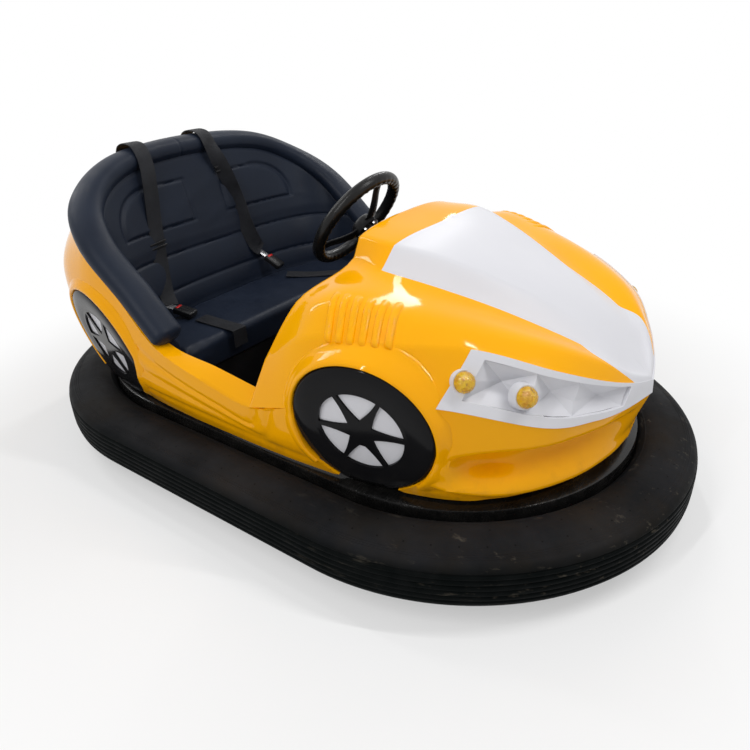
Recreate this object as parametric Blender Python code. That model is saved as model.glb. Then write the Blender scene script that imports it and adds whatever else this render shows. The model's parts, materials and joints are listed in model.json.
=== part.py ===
"""Two-seat bumper car: fibreglass body on a steel chassis inside an inflated rubber bumper ring.

Units are metres, +X is forward, +Y is the car's left and +Z is up. The origin is on the floor, below the
middle of the bumper ring. Shapes on both sides are made once, for the left, and mirrored to the right.
"""
import math

import bmesh
import bpy
import numpy as np
from mathutils import Matrix, Vector

# ---------------------------------------------------------------- driving dimensions
LENGTH = 1.95  # over the bumper ring
WIDTH = 1.25
RING_BOTTOM = 0.052
RING_RADIUS = WIDTH / 2  # the ring has round ends and straight sides
RING_STRAIGHT = LENGTH / 2 - RING_RADIUS
RING_STEPS = 20  # facets in a quarter of the ring

GAP = 0.0004  # between pieces that touch
SKIN = 0.006  # fibreglass thickness
PLATE_BOTTOM = 0.130  # chassis plate
PLATE_TOP = 0.134
BODY_BOTTOM = 0.200  # lower edge of the fibreglass body

DRIVE_X = 0.50  # steered drive unit, under the nose
DRIVE_WHEEL_RADIUS = 0.100
DRIVE_WHEEL_WIDTH = 0.060
DRIVE_HOLE_RADIUS = 0.150
BRIDGE_BOTTOM = 0.236
BRIDGE_TOP = 0.242

REAR_WHEEL_RADIUS = 0.060
REAR_WHEEL_WIDTH = 0.032
REAR_WHEEL_X = -0.50
REAR_WHEEL_Y = 0.300
REAR_AXLE_RADIUS = 0.008

STEERING_CENTRE = Vector((0.041, 0.0, 0.645))
STEERING_TILT = math.radians(35)  # between the column and the horizontal
STEERING_RADIUS = 0.137
RIM_TUBE_RADIUS = 0.013
SHAFT_LENGTH = 0.490  # from below the hub to the universal joint over the drive unit
BULKHEAD_X = 0.290


# ---------------------------------------------------------------- seat roll
# Middle of the padded roll on the left, from its front end back to the middle of the seat. Columns: x, y, z.
ROLL_LINE = [(-0.200, 0.479, 0.420), (-0.310, 0.480, 0.522), (-0.450, 0.475, 0.637), (-0.555, 0.405, 0.715),
             (-0.612, 0.250, 0.778), (-0.626, 0, 0.796)]
ROLL_HALF_WIDTH = 0.038
ROLL_HALF_HEIGHT = 0.022


def beside_roll(out, up):
    """The roll's line moved sideways, away from the cockpit, and squarely up from its path."""
    knots = [Vector(p) for p in ROLL_LINE]
    knots.append(Vector((ROLL_LINE[-2][0], -ROLL_LINE[-2][1], ROLL_LINE[-2][2])))
    moved = []
    for k, spot in enumerate(knots[:-1]):
        along = (knots[k + 1] - knots[max(k - 1, 0)]).normalized()
        across = Vector((0, 0, 1)).cross(along).normalized() * -1
        over = along.cross(across).normalized()
        over = over if over.z > 0 else -over
        moved.append(tuple(spot + across * out + over * up))
    return moved


# ---------------------------------------------------------------- feature lines of the body
# Each line runs from the nose back to the cockpit on the left side. Columns: x, y, z.
FRONT_LINES = {
    "hem": [(0.790, 0, 0.200), (0.778, 0.100, 0.200), (0.740, 0.215, 0.200), (0.665, 0.330, 0.200),
            (0.555, 0.405, 0.200), (0.385, 0.452, 0.200), (0.230, 0.470, 0.200), (0.098, 0.476, 0.200)],
    "chin": [(0.815, 0, 0.250), (0.802, 0.105, 0.250), (0.762, 0.228, 0.250), (0.684, 0.348, 0.258),
             (0.565, 0.428, 0.266), (0.390, 0.478, 0.272), (0.230, 0.494, 0.270), (0.095, 0.496, 0.262)],
    "pod_lower": [(0.849, 0, 0.360), (0.823, 0.110, 0.363), (0.787, 0.200, 0.369), (0.720, 0.310, 0.388),
                  (0.550, 0.437, 0.440), (0.395, 0.488, 0.420), (0.230, 0.502, 0.370), (0.090, 0.500, 0.325)],
    "pod_upper": [(0.846, 0, 0.392), (0.826, 0.075, 0.412), (0.785, 0.165, 0.446), (0.715, 0.262, 0.492),
                  (0.575, 0.349, 0.538), (0.410, 0.445, 0.545), (0.260, 0.475, 0.535), (0.130, 0.470, 0.450)],
    "brow": [(0.843, 0, 0.398), (0.818, 0.068, 0.428), (0.768, 0.150, 0.478), (0.690, 0.228, 0.522),
             (0.555, 0.313, 0.560), (0.410, 0.385, 0.584), (0.285, 0.415, 0.600), (0.175, 0.400, 0.572)],
    "stripe_edge": [(0.838, 0, 0.403), (0.805, 0.060, 0.430), (0.762, 0.104, 0.470), (0.680, 0.140, 0.512),
                    (0.545, 0.182, 0.560), (0.420, 0.225, 0.597), (0.300, 0.255, 0.622), (0.200, 0.222, 0.625)],
    "ridge": [(0.830, 0, 0.408), (0.795, 0.022, 0.438), (0.722, 0.060, 0.502), (0.640, 0.088, 0.552),
              (0.530, 0.127, 0.600), (0.410, 0.167, 0.642), (0.300, 0.203, 0.665), (0.200, 0.196, 0.668)],
    "centre": [(0.824, 0, 0.411), (0.790, 0, 0.442), (0.718, 0, 0.506), (0.640, 0, 0.556),
               (0.530, 0, 0.605), (0.410, 0, 0.648), (0.300, 0, 0.671), (0.200, 0, 0.686)],
}
FRONT_ROWS = {"hem": 1, "chin": 3, "pod_lower": 3, "pod_upper": 2, "brow": 2, "stripe_edge": 1, "ridge": 2}
NOSE_STATION, POD_STATION, STRIPE_STATION = 1, 4, 6  # where the tongue, pods and stripe end, in the lines above

# Each line runs from the cockpit back to the middle of the tail.
REAR_LINES = {
    "hem": [(0.098, 0.476, 0.200), (-0.050, 0.477, 0.200), (-0.180, 0.476, 0.200), (-0.340, 0.466, 0.200),
            (-0.500, 0.430, 0.200), (-0.640, 0.335, 0.200), (-0.730, 0.190, 0.200), (-0.760, 0, 0.200)],
    "chin": [(0.095, 0.496, 0.262), (-0.050, 0.498, 0.262), (-0.180, 0.500, 0.262), (-0.340, 0.501, 0.270),
             (-0.520, 0.482, 0.285), (-0.690, 0.390, 0.300), (-0.785, 0.225, 0.310), (-0.815, 0, 0.310)],
    "waist": [(0.0925, 0.498, 0.2935), (-0.050, 0.502, 0.310), (-0.180, 0.505, 0.335), (-0.340, 0.509, 0.420),
              (-0.530, 0.500, 0.470), (-0.710, 0.425, 0.510), (-0.812, 0.250, 0.530), (-0.848, 0, 0.530)],
    "sill": [(0.090, 0.500, 0.325), (-0.050, 0.502, 0.346), *beside_roll(0.030, -0.028)],
    "rail": [(0.088, 0.458, 0.352), (-0.050, 0.460, 0.372), *beside_roll(-0.012, -0.028)],
}
REAR_ROWS = {"hem": 2, "chin": 3, "waist": 3, "sill": 1}
TAIL_STATION = 5  # the white tail panel starts here

ARCH_RADIUS = 0.1655
DISC_RADIUS = 0.165
DISC_DEPTH = 0.012
DISCS = {  # dummy wheels: centre of the outer face on the left, then turn and downward lean in degrees
    "front": ((0.392, 0.474, 0.350), 10, 10),
    "rear": ((-0.490, 0.480, 0.334), -10, 12),
}
ARCH_STEPS = 4  # facets between two stations of a line

COLOURS = {  # name: red, green, blue, roughness, metallic
    "yellow_gelcoat": (0.95, 0.50, 0.01, 0.15, 0.0),
    "white_gelcoat": (0.80, 0.80, 0.82, 0.15, 0.0),
    "black_gelcoat": (0.01, 0.01, 0.012, 0.12, 0.0),
    "bumper_rubber": (0.02, 0.02, 0.02, 0.60, 0.0),
    "black_steel": (0.01, 0.01, 0.01, 0.20, 0.0),
    "amber_lens": (0.90, 0.50, 0.02, 0.10, 0.0),
    "seat_vinyl": (0.015, 0.018, 0.025, 0.45, 0.0),
    "webbing": (0.012, 0.012, 0.014, 0.80, 0.0),
    "black_plastic": (0.015, 0.015, 0.015, 0.40, 0.0),
    "floor_rubber": (0.02, 0.02, 0.02, 0.80, 0.0),
    "bright_steel": (0.60, 0.60, 0.62, 0.30, 1.0),
    "wheel_rubber": (0.03, 0.03, 0.03, 0.70, 0.0),
    "battery_case": (0.05, 0.05, 0.06, 0.50, 0.0),
}


# ---------------------------------------------------------------- helpers
def clear_scene():
    for thing in list(bpy.data.objects):
        bpy.data.objects.remove(thing)


def material(name):
    found = bpy.data.materials.get(name)
    if found:
        return found
    red, green, blue, roughness, metallic = COLOURS[name]
    made = bpy.data.materials.new(name)
    made.use_nodes = True
    shader = made.node_tree.nodes["Principled BSDF"]
    shader.inputs["Base Color"].default_value = (red, green, blue, 1)
    shader.inputs["Roughness"].default_value = roughness
    shader.inputs["Metallic"].default_value = metallic
    return made


def place(name, mesh, finish, pivot=None, smooth_angle=40):
    """Links a mesh as the named object. With a pivot, the object's origin is put there, on its joint's axis."""
    thing = bpy.data.objects.new(name, mesh)
    bpy.context.scene.collection.objects.link(thing)
    mesh.materials.clear()
    mesh.materials.append(material(finish))
    if pivot is not None:
        mesh.transform(Matrix.Translation(-Vector(pivot)))
        thing.location = pivot
    mesh.shade_smooth()
    mesh.set_sharp_from_angle(angle=math.radians(smooth_angle))
    return thing


def mesh_of(points, faces, name="piece"):
    """A mesh from points and faces, with its faces turned outwards."""
    mesh = bpy.data.meshes.new(name)
    mesh.from_pydata([tuple(p) for p in points], [], faces)
    work = bmesh.new()
    work.from_mesh(mesh)
    bmesh.ops.remove_doubles(work, verts=work.verts, dist=1e-6)
    bmesh.ops.recalc_face_normals(work, faces=work.faces)
    work.to_mesh(mesh)
    work.free()
    return mesh


def box_mesh(low, high, bevel=0.0):
    work = bmesh.new()
    low, high = Vector(low), Vector(high)
    size = high - low
    where = Matrix.Translation((low + high) / 2) @ Matrix.Diagonal((size.x, size.y, size.z, 1))
    bmesh.ops.create_cube(work, size=1, matrix=where)
    if bevel:
        bmesh.ops.bevel(work, geom=list(work.edges), offset=bevel, segments=2, affect="EDGES", profile=0.7)
    mesh = bpy.data.meshes.new("box")
    work.to_mesh(mesh)
    work.free()
    return mesh


def extruded(outline, low, high):
    """A flat outline of (y, z) points carried along X."""
    count = len(outline)
    points = [(x, y, z) for x in (low, high) for y, z in outline]
    faces = [list(range(count)), list(range(count, 2 * count))]
    faces += [[k, (k + 1) % count, count + (k + 1) % count, count + k] for k in range(count)]
    return mesh_of(points, faces)


def portal(half_width, wall, low, high, top):
    """The outline of an upturned U, open at the bottom. top is the thickness of its bridge."""
    out, inn = half_width, half_width - wall
    return [(-out, low), (-out, high), (out, high), (out, low),
            (inn, low), (inn, high - top), (-inn, high - top), (-inn, low)]


def turn_from_z(direction):
    """The rotation that carries +Z to a direction."""
    return Vector(direction).to_track_quat("Z", "Y").to_matrix().to_4x4()


def lathe(profile, centre, axis, steps=32):
    """A closed profile of (radius, height) spun about an axis. Points at radius 0 close the shape."""
    ring_points = []
    frame = Matrix.Translation(Vector(centre)) @ turn_from_z(axis)
    for step in range(steps):
        angle = 2 * math.pi * step / steps
        ring_points += [frame @ Vector((r * math.cos(angle), r * math.sin(angle), h)) for r, h in profile]
    count = len(profile)
    faces = []
    for step in range(steps):
        here, there = step * count, (step + 1) % steps * count
        for k in range(count):
            after = (k + 1) % count
            corners = [here + k, here + after, there + after, there + k]
            if profile[k][0] < 1e-9 and profile[after][0] < 1e-9:
                continue
            if profile[k][0] < 1e-9:
                corners = corners[:3]
            elif profile[after][0] < 1e-9:
                corners = [corners[0], corners[1], corners[3]]
            faces.append(corners)
    return mesh_of(ring_points, faces)


def disc_mesh(centre, axis, radius, depth, steps=32, bore=0.0):
    """A round plate centred on a point, with an optional bore."""
    half = depth / 2
    return lathe([(bore, -half), (radius, -half), (radius, half), (bore, half)], centre, axis, steps)


def catmull(points, steps):
    """Points along a smooth curve through the given ones, steps for each stretch."""
    knots = [2 * points[0] - points[1], *points, 2 * points[-1] - points[-2]]
    out = []
    for a, b, c, d in zip(knots, knots[1:], knots[2:], knots[3:]):
        for k in range(steps):
            t = k / steps
            out.append(0.5 * (2 * b + (c - a) * t + (2 * a - 5 * b + 4 * c - d) * t**2
                              + (3 * b - a - 3 * c + d) * t**3))
    out.append(points[-1])
    return np.array(out)


def tube_mesh(path, radius, sides=12, closed=False, flatten=1.0, lie=(0, 0, 1)):
    """A tube along a path. flatten squeezes it along the direction lie, for belts and padded rolls."""
    path = [Vector(p) for p in path]
    count = len(path)
    points, faces = [], []
    for k, spot in enumerate(path):
        before = path[(k - 1) % count] if closed or k else path[0]
        after = path[(k + 1) % count] if closed or k < count - 1 else path[-1]
        along = (after - before).normalized()
        across = along.cross(Vector(lie)).normalized()
        over = across.cross(along).normalized()
        for side in range(sides):
            angle = 2 * math.pi * (side + 0.5) / sides
            points.append(spot + across * radius * math.cos(angle) + over * radius * flatten * math.sin(angle))
    for k in range(count if closed else count - 1):
        here, there = k * sides, (k + 1) % count * sides
        faces += [[here + s, here + (s + 1) % sides, there + (s + 1) % sides, there + s] for s in range(sides)]
    if not closed:
        faces += [list(range(sides))[::-1], list(range((count - 1) * sides, count * sides))]
    return mesh_of(points, faces)


def strap_mesh(path, width, thickness, across):
    """A flat strap along a path, its width along the direction across."""
    path = [Vector(p) for p in path]
    side = Vector(across).normalized() * width / 2
    points, faces = [], []
    for k, spot in enumerate(path):
        along = (path[min(k + 1, len(path) - 1)] - path[max(k - 1, 0)]).normalized()
        up = along.cross(side).normalized() * thickness / 2
        points += [spot - side - up, spot + side - up, spot + side + up, spot - side + up]
    for k in range(len(path) - 1):
        here = 4 * k
        faces += [[here + s, here + (s + 1) % 4, here + 4 + (s + 1) % 4, here + 4 + s] for s in range(4)]
    last = 4 * (len(path) - 1)
    faces += [[0, 1, 2, 3], [last, last + 1, last + 2, last + 3]]
    return mesh_of(points, faces)


def stadium(inset, steps=RING_STEPS):
    """The ring's outline in plan, moved inwards, as (x, y) points all the way round."""
    radius = RING_RADIUS - inset
    out = []
    for end in (1, -1):
        for k in range(2 * steps + 1):
            angle = math.pi * (k / (2 * steps) - 0.5)
            out.append((end * (RING_STRAIGHT + radius * math.cos(angle)), end * radius * math.sin(angle)))
    return out


def ring_mesh(profile):
    """A closed profile of (inset, z) carried round the stadium outline."""
    loops = [[(x, y, z) for x, y in stadium(inset)] for inset, z in profile]
    count = len(loops[0])
    faces = []
    for k in range(len(loops)):
        here, there = k * count, (k + 1) % len(loops) * count
        faces += [[here + s, here + (s + 1) % count, there + (s + 1) % count, there + s] for s in range(count)]
    return mesh_of([p for loop in loops for p in loop], faces)


def cutter(mesh):
    thing = bpy.data.objects.new("cutter", mesh)
    bpy.context.scene.collection.objects.link(thing)
    thing.hide_render = True
    thing.display_type = "WIRE"
    return thing


def cut(thing, mesh):
    """Takes a closed mesh out of an object."""
    modifier = thing.modifiers.new("cut", "BOOLEAN")
    modifier.operation = "DIFFERENCE"
    modifier.object = cutter(mesh)


# ---------------------------------------------------------------- body skin
def line_grid(lines, rows):
    """Points of a half skin: one row for each named line, and rows between them as the table says."""
    names = list(lines)
    curves = [catmull(np.array(lines[name], float), ARCH_STEPS) for name in names]
    grid, start = [], {}
    for k, name in enumerate(names):
        start[name] = len(grid)
        if k == len(names) - 1:
            grid.append(curves[k])
            break
        for step in range(rows[name]):
            share = step / rows[name]
            grid.append(curves[k] * (1 - share) + curves[k + 1] * share)
    return np.array(grid), start


class Skin:
    """A thin shell, mirrored about the centre plane, cut into panels that meet with a small gap."""

    def __init__(self, grid):
        self.rows, self.columns = grid.shape[:2]
        half = grid.reshape(-1, 3)
        self.points = np.concatenate([half, half * (1, -1, 1)])
        self.half_count = len(half)
        self.weld = np.arange(2 * len(half))
        on_centre = np.abs(half[:, 1]) < 1e-6
        self.weld[self.half_count:][on_centre] = np.arange(len(half))[on_centre]
        self.normals = self._normals()

    def cells(self, row_range, sides=(0, 1), columns=None):
        """Quads of the rows in the range, on the given sides: 0 is left and 1 is right."""
        out = []
        for side in sides:
            base = side * self.half_count
            for row in row_range:
                for column in columns or range(self.columns - 1):
                    here = base + row * self.columns + column
                    quad = [here, here + 1, here + self.columns + 1, here + self.columns]
                    quad = [int(self.weld[v]) for v in quad]
                    quad = quad if side == 0 else quad[::-1]
                    clean = [v for k, v in enumerate(quad) if v != quad[k - 1]]
                    if len(clean) > 2:
                        out.append(clean)
        return out

    def _normals(self):
        normals = np.zeros_like(self.points)
        for quad in self.cells(range(self.rows - 1)):
            corners = self.points[quad]
            if len(quad) == 4:
                face = np.cross(corners[2] - corners[0], corners[3] - corners[1])
            else:
                face = np.cross(corners[1] - corners[0], corners[2] - corners[0])
            length = np.linalg.norm(face)
            if length > 1e-12:
                normals[quad] += face / length
        lengths = np.linalg.norm(normals, axis=1)
        lengths[lengths == 0] = 1
        normals /= lengths[:, None]
        return normals[self.weld]

    def panel(self, quads, thickness=SKIN):
        """A closed solid from some of the skin's quads, drawn back a little from its neighbours."""
        used = sorted({v for quad in quads for v in quad})
        index = {v: k for k, v in enumerate(used)}
        edge_count = {}
        centre_sum = {v: np.zeros(3) for v in used}
        centre_hits = dict.fromkeys(used, 0)
        for quad in quads:
            middle = self.points[quad].mean(axis=0)
            for k, v in enumerate(quad):
                centre_sum[v] += middle
                centre_hits[v] += 1
                edge = (quad[k - 1], v)
                edge_count[edge] = edge_count.get(edge, 0) + 1
        border = [(a, b) for a, b in edge_count if (b, a) not in edge_count]
        edge_vertices = {v for edge in border for v in edge}
        outer = []
        for v in used:
            spot = self.points[v].copy()
            if v in edge_vertices:
                pull = centre_sum[v] / centre_hits[v] - spot
                spot += pull / max(np.linalg.norm(pull), 1e-9) * GAP
            outer.append(spot)
        outer = np.array(outer)
        inner = outer - self.normals[used] * thickness
        count = len(used)
        faces = [[index[v] for v in quad] for quad in quads]
        faces += [[index[v] + count for v in quad][::-1] for quad in quads]
        faces += [[index[b], index[a], index[a] + count, index[b] + count] for a, b in border]
        return mesh_of(np.concatenate([outer, inner]), faces)


def disc_frame(name, side):
    (x, y, z), turn, lean = DISCS[name]
    turn, lean = math.radians(turn), math.radians(lean)
    facing = Vector((math.sin(turn) * math.cos(lean), math.cos(turn) * math.cos(lean) * side, -math.sin(lean)))
    return Vector((x, y * side, z)), facing


def cut_arches(body, name):
    for side in (1, -1):
        centre, facing = disc_frame(name, side)
        cut(body, disc_mesh(centre, facing, ARCH_RADIUS, 0.16, 48))


def build_front_body():
    grid, start = line_grid(FRONT_LINES, FRONT_ROWS)
    skin = Skin(grid)
    nose, pod, stripe = NOSE_STATION * ARCH_STEPS, POD_STATION * ARCH_STEPS, STRIPE_STATION * ARCH_STEPS
    last = skin.columns - 1
    pod_rows = range(start["pod_lower"], start["pod_upper"])
    tongue_rows = range(start["pod_upper"], start["stripe_edge"])
    stripe_rows = range(start["stripe_edge"], skin.rows - 1)
    yellow = skin.cells(range(0, start["pod_lower"]))
    yellow += skin.cells(pod_rows, columns=range(pod, last))
    yellow += skin.cells(tongue_rows, columns=range(nose, last))
    yellow += skin.cells(stripe_rows, columns=range(stripe, last))
    body = place("front_body", skin.panel(yellow), "yellow_gelcoat")
    cut_arches(body, "front")
    for side, name in enumerate(("left", "right")):
        shell = skin.panel(skin.cells(pod_rows, sides=(side,), columns=range(pod)))
        place(f"headlight_pod_{name}", shell, "white_gelcoat")
    white = skin.cells(stripe_rows, columns=range(stripe)) + skin.cells(tongue_rows, columns=range(nose))
    place("hood_stripe_panel", skin.panel(white), "white_gelcoat")


def build_rear_body():
    grid, start = line_grid(REAR_LINES, REAR_ROWS)
    skin = Skin(grid)
    tail, last = TAIL_STATION * ARCH_STEPS, skin.columns - 1
    white_rows = range(start["waist"] - 1, start["waist"] + 1)
    yellow = skin.cells(range(start["waist"] - 1))
    yellow += skin.cells(white_rows, columns=range(tail))
    yellow += skin.cells(range(start["waist"] + 1, skin.rows - 1))
    body = place("rear_body", skin.panel(yellow), "yellow_gelcoat")
    cut_arches(body, "rear")
    place("tail_panel", skin.panel(skin.cells(white_rows, columns=range(tail, last))), "white_gelcoat")


def build_discs():
    for name in DISCS:
        for side, word in ((1, "left"), (-1, "right")):
            centre, facing = disc_frame(name, side)
            half = DISC_DEPTH / 2
            face = lathe([(0, -half), (DISC_RADIUS, -half), (DISC_RADIUS, half - 0.004),
                          (DISC_RADIUS - 0.006, half), (0, half)], centre - facing * half, facing, 40)
            disc = place(f"wheel_disc_{name}_{word}", face, "black_gelcoat")
            cut(disc, box_mesh((-1, -1, 0), (1, 1, BODY_BOTTOM)))


# ---------------------------------------------------------------- chassis
def build_chassis():
    tyre = ring_mesh([(0.004, 0.070), (0.000, 0.095), (0.000, 0.135), (0.008, 0.150), (0.030, 0.174),
                      (0.065, 0.188), (0.100, 0.186), (0.130, 0.174), (0.145, 0.155), (0.145, 0.084),
                      (0.125, 0.060), (0.075, RING_BOTTOM), (0.022, 0.055)])
    place("bumper_tyre", tyre, "bumper_rubber")
    rim = ring_mesh([(0.1454, 0.085), (0.1454, 0.190), (0.198, 0.196), (0.198, 0.192), (0.150, 0.186),
                     (0.150, PLATE_BOTTOM), (0.150, 0.085)])
    place("bumper_rim", rim, "black_steel")
    outline = stadium(0.1504, 12)
    count = len(outline)
    plate_points = [(x, y, z) for z in (PLATE_BOTTOM, PLATE_TOP) for x, y in outline]
    faces = [list(range(count)), list(range(count, 2 * count))]
    faces += [[k, (k + 1) % count, count + (k + 1) % count, count + k] for k in range(count)]
    plate = place("chassis_plate", mesh_of(plate_points, faces), "black_steel")
    cut(plate, disc_mesh((DRIVE_X, 0, PLATE_TOP), (0, 0, 1), DRIVE_HOLE_RADIUS, 0.05))


def build_drive_mount():
    outline = portal(0.184, 0.010, PLATE_TOP + GAP, BRIDGE_TOP, BRIDGE_TOP - BRIDGE_BOTTOM)
    bridge = place("drive_mount", extruded(outline, DRIVE_X - 0.05, DRIVE_X + 0.05), "black_steel")
    cut(bridge, disc_mesh((DRIVE_X, 0, BRIDGE_TOP), (0, 0, 1), 0.021, 0.05))
    panel = box_mesh((BULKHEAD_X, -0.40, PLATE_TOP + GAP), (BULKHEAD_X + 0.004, 0.40, 0.560))
    bulkhead = place("footwell_bulkhead", panel, "black_plastic")
    drop = (BULKHEAD_X - STEERING_CENTRE.x) * math.tan(STEERING_TILT)
    cut(bulkhead, disc_mesh((BULKHEAD_X, 0, STEERING_CENTRE.z - drop), (1, 0, 0), 0.034, 0.05))


def build_drive_unit():
    """The steered fork and its hub-motor wheel, on a vertical axis."""
    axis = (DRIVE_X, 0, 0)
    axle_z = DRIVE_WHEEL_RADIUS
    crown = box_mesh((DRIVE_X - 0.045, -0.055, 0.214), (DRIVE_X + 0.045, 0.055, 0.226))
    legs = [box_mesh((DRIVE_X - 0.022, side * 0.049 - 0.005, 0.085),
                     (DRIVE_X + 0.022, side * 0.049 + 0.005, 0.214 + 0.002)) for side in (1, -1)]
    stem = disc_mesh((DRIVE_X, 0, 0.260), (0, 0, 1), 0.016, 0.080, 20)
    fork = place("drive_fork", crown, "black_steel", pivot=axis)
    yoke = disc_mesh((DRIVE_X, 0, 0.303), (0, 0, 1), 0.022, 0.012, 24)
    for mesh in (*legs, stem, yoke):
        mesh.transform(Matrix.Translation(-Vector(axis)))
        helper = cutter(mesh)
        helper.location = axis
        modifier = fork.modifiers.new("join", "BOOLEAN")
        modifier.operation = "UNION"
        modifier.object = helper
    centre = (DRIVE_X, 0, axle_z)
    half = DRIVE_WHEEL_WIDTH / 2
    tread = lathe([(0.072, -half + 0.004), (0.094, -half), (DRIVE_WHEEL_RADIUS, -half + 0.008),
                   (DRIVE_WHEEL_RADIUS, half - 0.008), (0.094, half), (0.072, half - 0.004)],
                  centre, (0, 1, 0), 40)
    place("drive_tyre", tread, "wheel_rubber", pivot=centre)
    motor = lathe([(0, -0.036), (0.016, -0.036), (0.020, -0.028), (0.060, -0.026), (0.0716, -0.022),
                   (0.0716, 0.022), (0.060, 0.026), (0.020, 0.028), (0.016, 0.036), (0, 0.036)],
                  centre, (0, 1, 0), 32)
    place("hub_motor", motor, "bright_steel", pivot=centre)


def build_rear_wheels():
    axle_z = REAR_WHEEL_RADIUS
    for side, name in ((1, "left"), (-1, "right")):
        centre = (REAR_WHEEL_X, side * REAR_WHEEL_Y, axle_z)
        fork = extruded(portal(0.031, 0.005, 0.045, PLATE_BOTTOM - GAP, 0.002), REAR_WHEEL_X - 0.02,
                        REAR_WHEEL_X + 0.02)
        fork.transform(Matrix.Translation((0, side * REAR_WHEEL_Y, 0)))
        bracket = place(f"rear_bracket_{name}", fork, "black_steel")
        cut(bracket, disc_mesh(centre, (0, 1, 0), REAR_AXLE_RADIUS + GAP, 0.1, 20))
        place(f"rear_axle_{name}", disc_mesh(centre, (0, 1, 0), REAR_AXLE_RADIUS, 0.072, 20), "bright_steel")
        half = REAR_WHEEL_WIDTH / 2
        bore = REAR_AXLE_RADIUS + 0.0005
        wheel = lathe([(bore, -half), (0.038, -half), (0.040, -half + 0.003), (0.055, -half + 0.003),
                       (REAR_WHEEL_RADIUS, -half + 0.007), (REAR_WHEEL_RADIUS, half - 0.007),
                       (0.055, half - 0.003), (0.040, half - 0.003), (0.038, half), (bore, half)],
                      centre, (0, 1, 0), 36)
        place(f"rear_wheel_{name}", wheel, "wheel_rubber", pivot=centre)


# ---------------------------------------------------------------- cockpit
def build_cockpit():
    place("floor_mat", box_mesh((-0.18, -0.42, PLATE_TOP + GAP), (0.288, 0.42, 0.140)), "floor_rubber")
    shell = box_mesh((-0.56, -0.36, PLATE_TOP + GAP), (-0.225, 0.36, 0.270))
    seat_box = place("seat_box", shell, "black_plastic")
    cut(seat_box, box_mesh((-0.55, -0.35, 0.10), (-0.235, 0.35, 0.262)))
    battery = box_mesh((-0.53, -0.30, PLATE_TOP + GAP), (-0.25, 0.30, 0.245), 0.004)
    place("battery_pack", battery, "battery_case")
    pedal = box_mesh((-0.06, -0.035, -0.004), (0.06, 0.035, 0.004), 0.002)
    pedal.transform(Matrix.Translation((0.235, -0.27, 0.185)) @ Matrix.Rotation(math.radians(-40), 4, "Y"))
    place("accelerator_pedal", pedal, "bright_steel")
    dash = box_mesh((0.213, -0.170, 0.590), (0.217, 0.170, 0.655))
    place("dash_panel", dash, "black_plastic")


def both_sides(half_line):
    """A line on the left with its mirror on the right, as one path."""
    return [*half_line, *[(x, -y, z) for x, y, z in half_line[-2::-1]]]


def smooth_path(points, steps):
    return [Vector(p) for p in catmull(np.array(points, float), steps)]


CUSHION_TOP = 0.355
CUSHION_FRONT = -0.205
# Where the backrest meets the cushion, at the same stations as the roll's line.
SEAT_FOOT = [(-0.225, 0.440, 0.3575), (-0.300, 0.437, 0.3575), (-0.385, 0.410, 0.3575), (-0.445, 0.335, 0.3575),
             (-0.478, 0.200, 0.3575), (-0.488, 0, 0.3575)]
BACK_THICKNESS = 0.015


def build_seat():
    roll_path = smooth_path(both_sides(ROLL_LINE), 5)
    roll = tube_mesh(roll_path, ROLL_HALF_WIDTH, 12, flatten=ROLL_HALF_HEIGHT / ROLL_HALF_WIDTH)
    place("seat_roll", roll, "seat_vinyl")
    head = [(max(min(x, -0.228), x - 0.03), y, z) for x, y, z in beside_roll(-0.030, -0.030)]
    head_path = smooth_path(both_sides(head), 5)
    foot_path = smooth_path(both_sides(SEAT_FOOT), 5)
    points, faces = [], []
    for k, (low, high) in enumerate(zip(foot_path, head_path)):
        before, after = foot_path[max(k - 1, 0)], foot_path[min(k + 1, len(foot_path) - 1)]
        along = (after - before).normalized()
        out = along.cross(Vector((0, 0, 1))).normalized() * BACK_THICKNESS
        points += [low, high, high + out, low + out]
    last = 4 * (len(foot_path) - 1)
    for k in range(len(foot_path) - 1):
        here = 4 * k
        faces += [[here + s, here + (s + 1) % 4, here + 4 + (s + 1) % 4, here + 4 + s] for s in range(4)]
    faces += [[0, 1, 2, 3], [last, last + 1, last + 2, last + 3]]
    place("seat_back", mesh_of(points, faces), "seat_vinyl")
    outline = [(p.x, p.y) for p in foot_path]
    outline = [(CUSHION_FRONT, outline[0][1]), *outline, (CUSHION_FRONT, outline[-1][1])]
    count = len(outline)
    cushion_points = [(x, y, z) for z in (0.2705, CUSHION_TOP) for x, y in outline]
    faces = [list(range(count)), list(range(count, 2 * count))]
    faces += [[k, (k + 1) % count, count + (k + 1) % count, count + k] for k in range(count)]
    place("seat_cushion", mesh_of(cushion_points, faces), "seat_vinyl")


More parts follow.
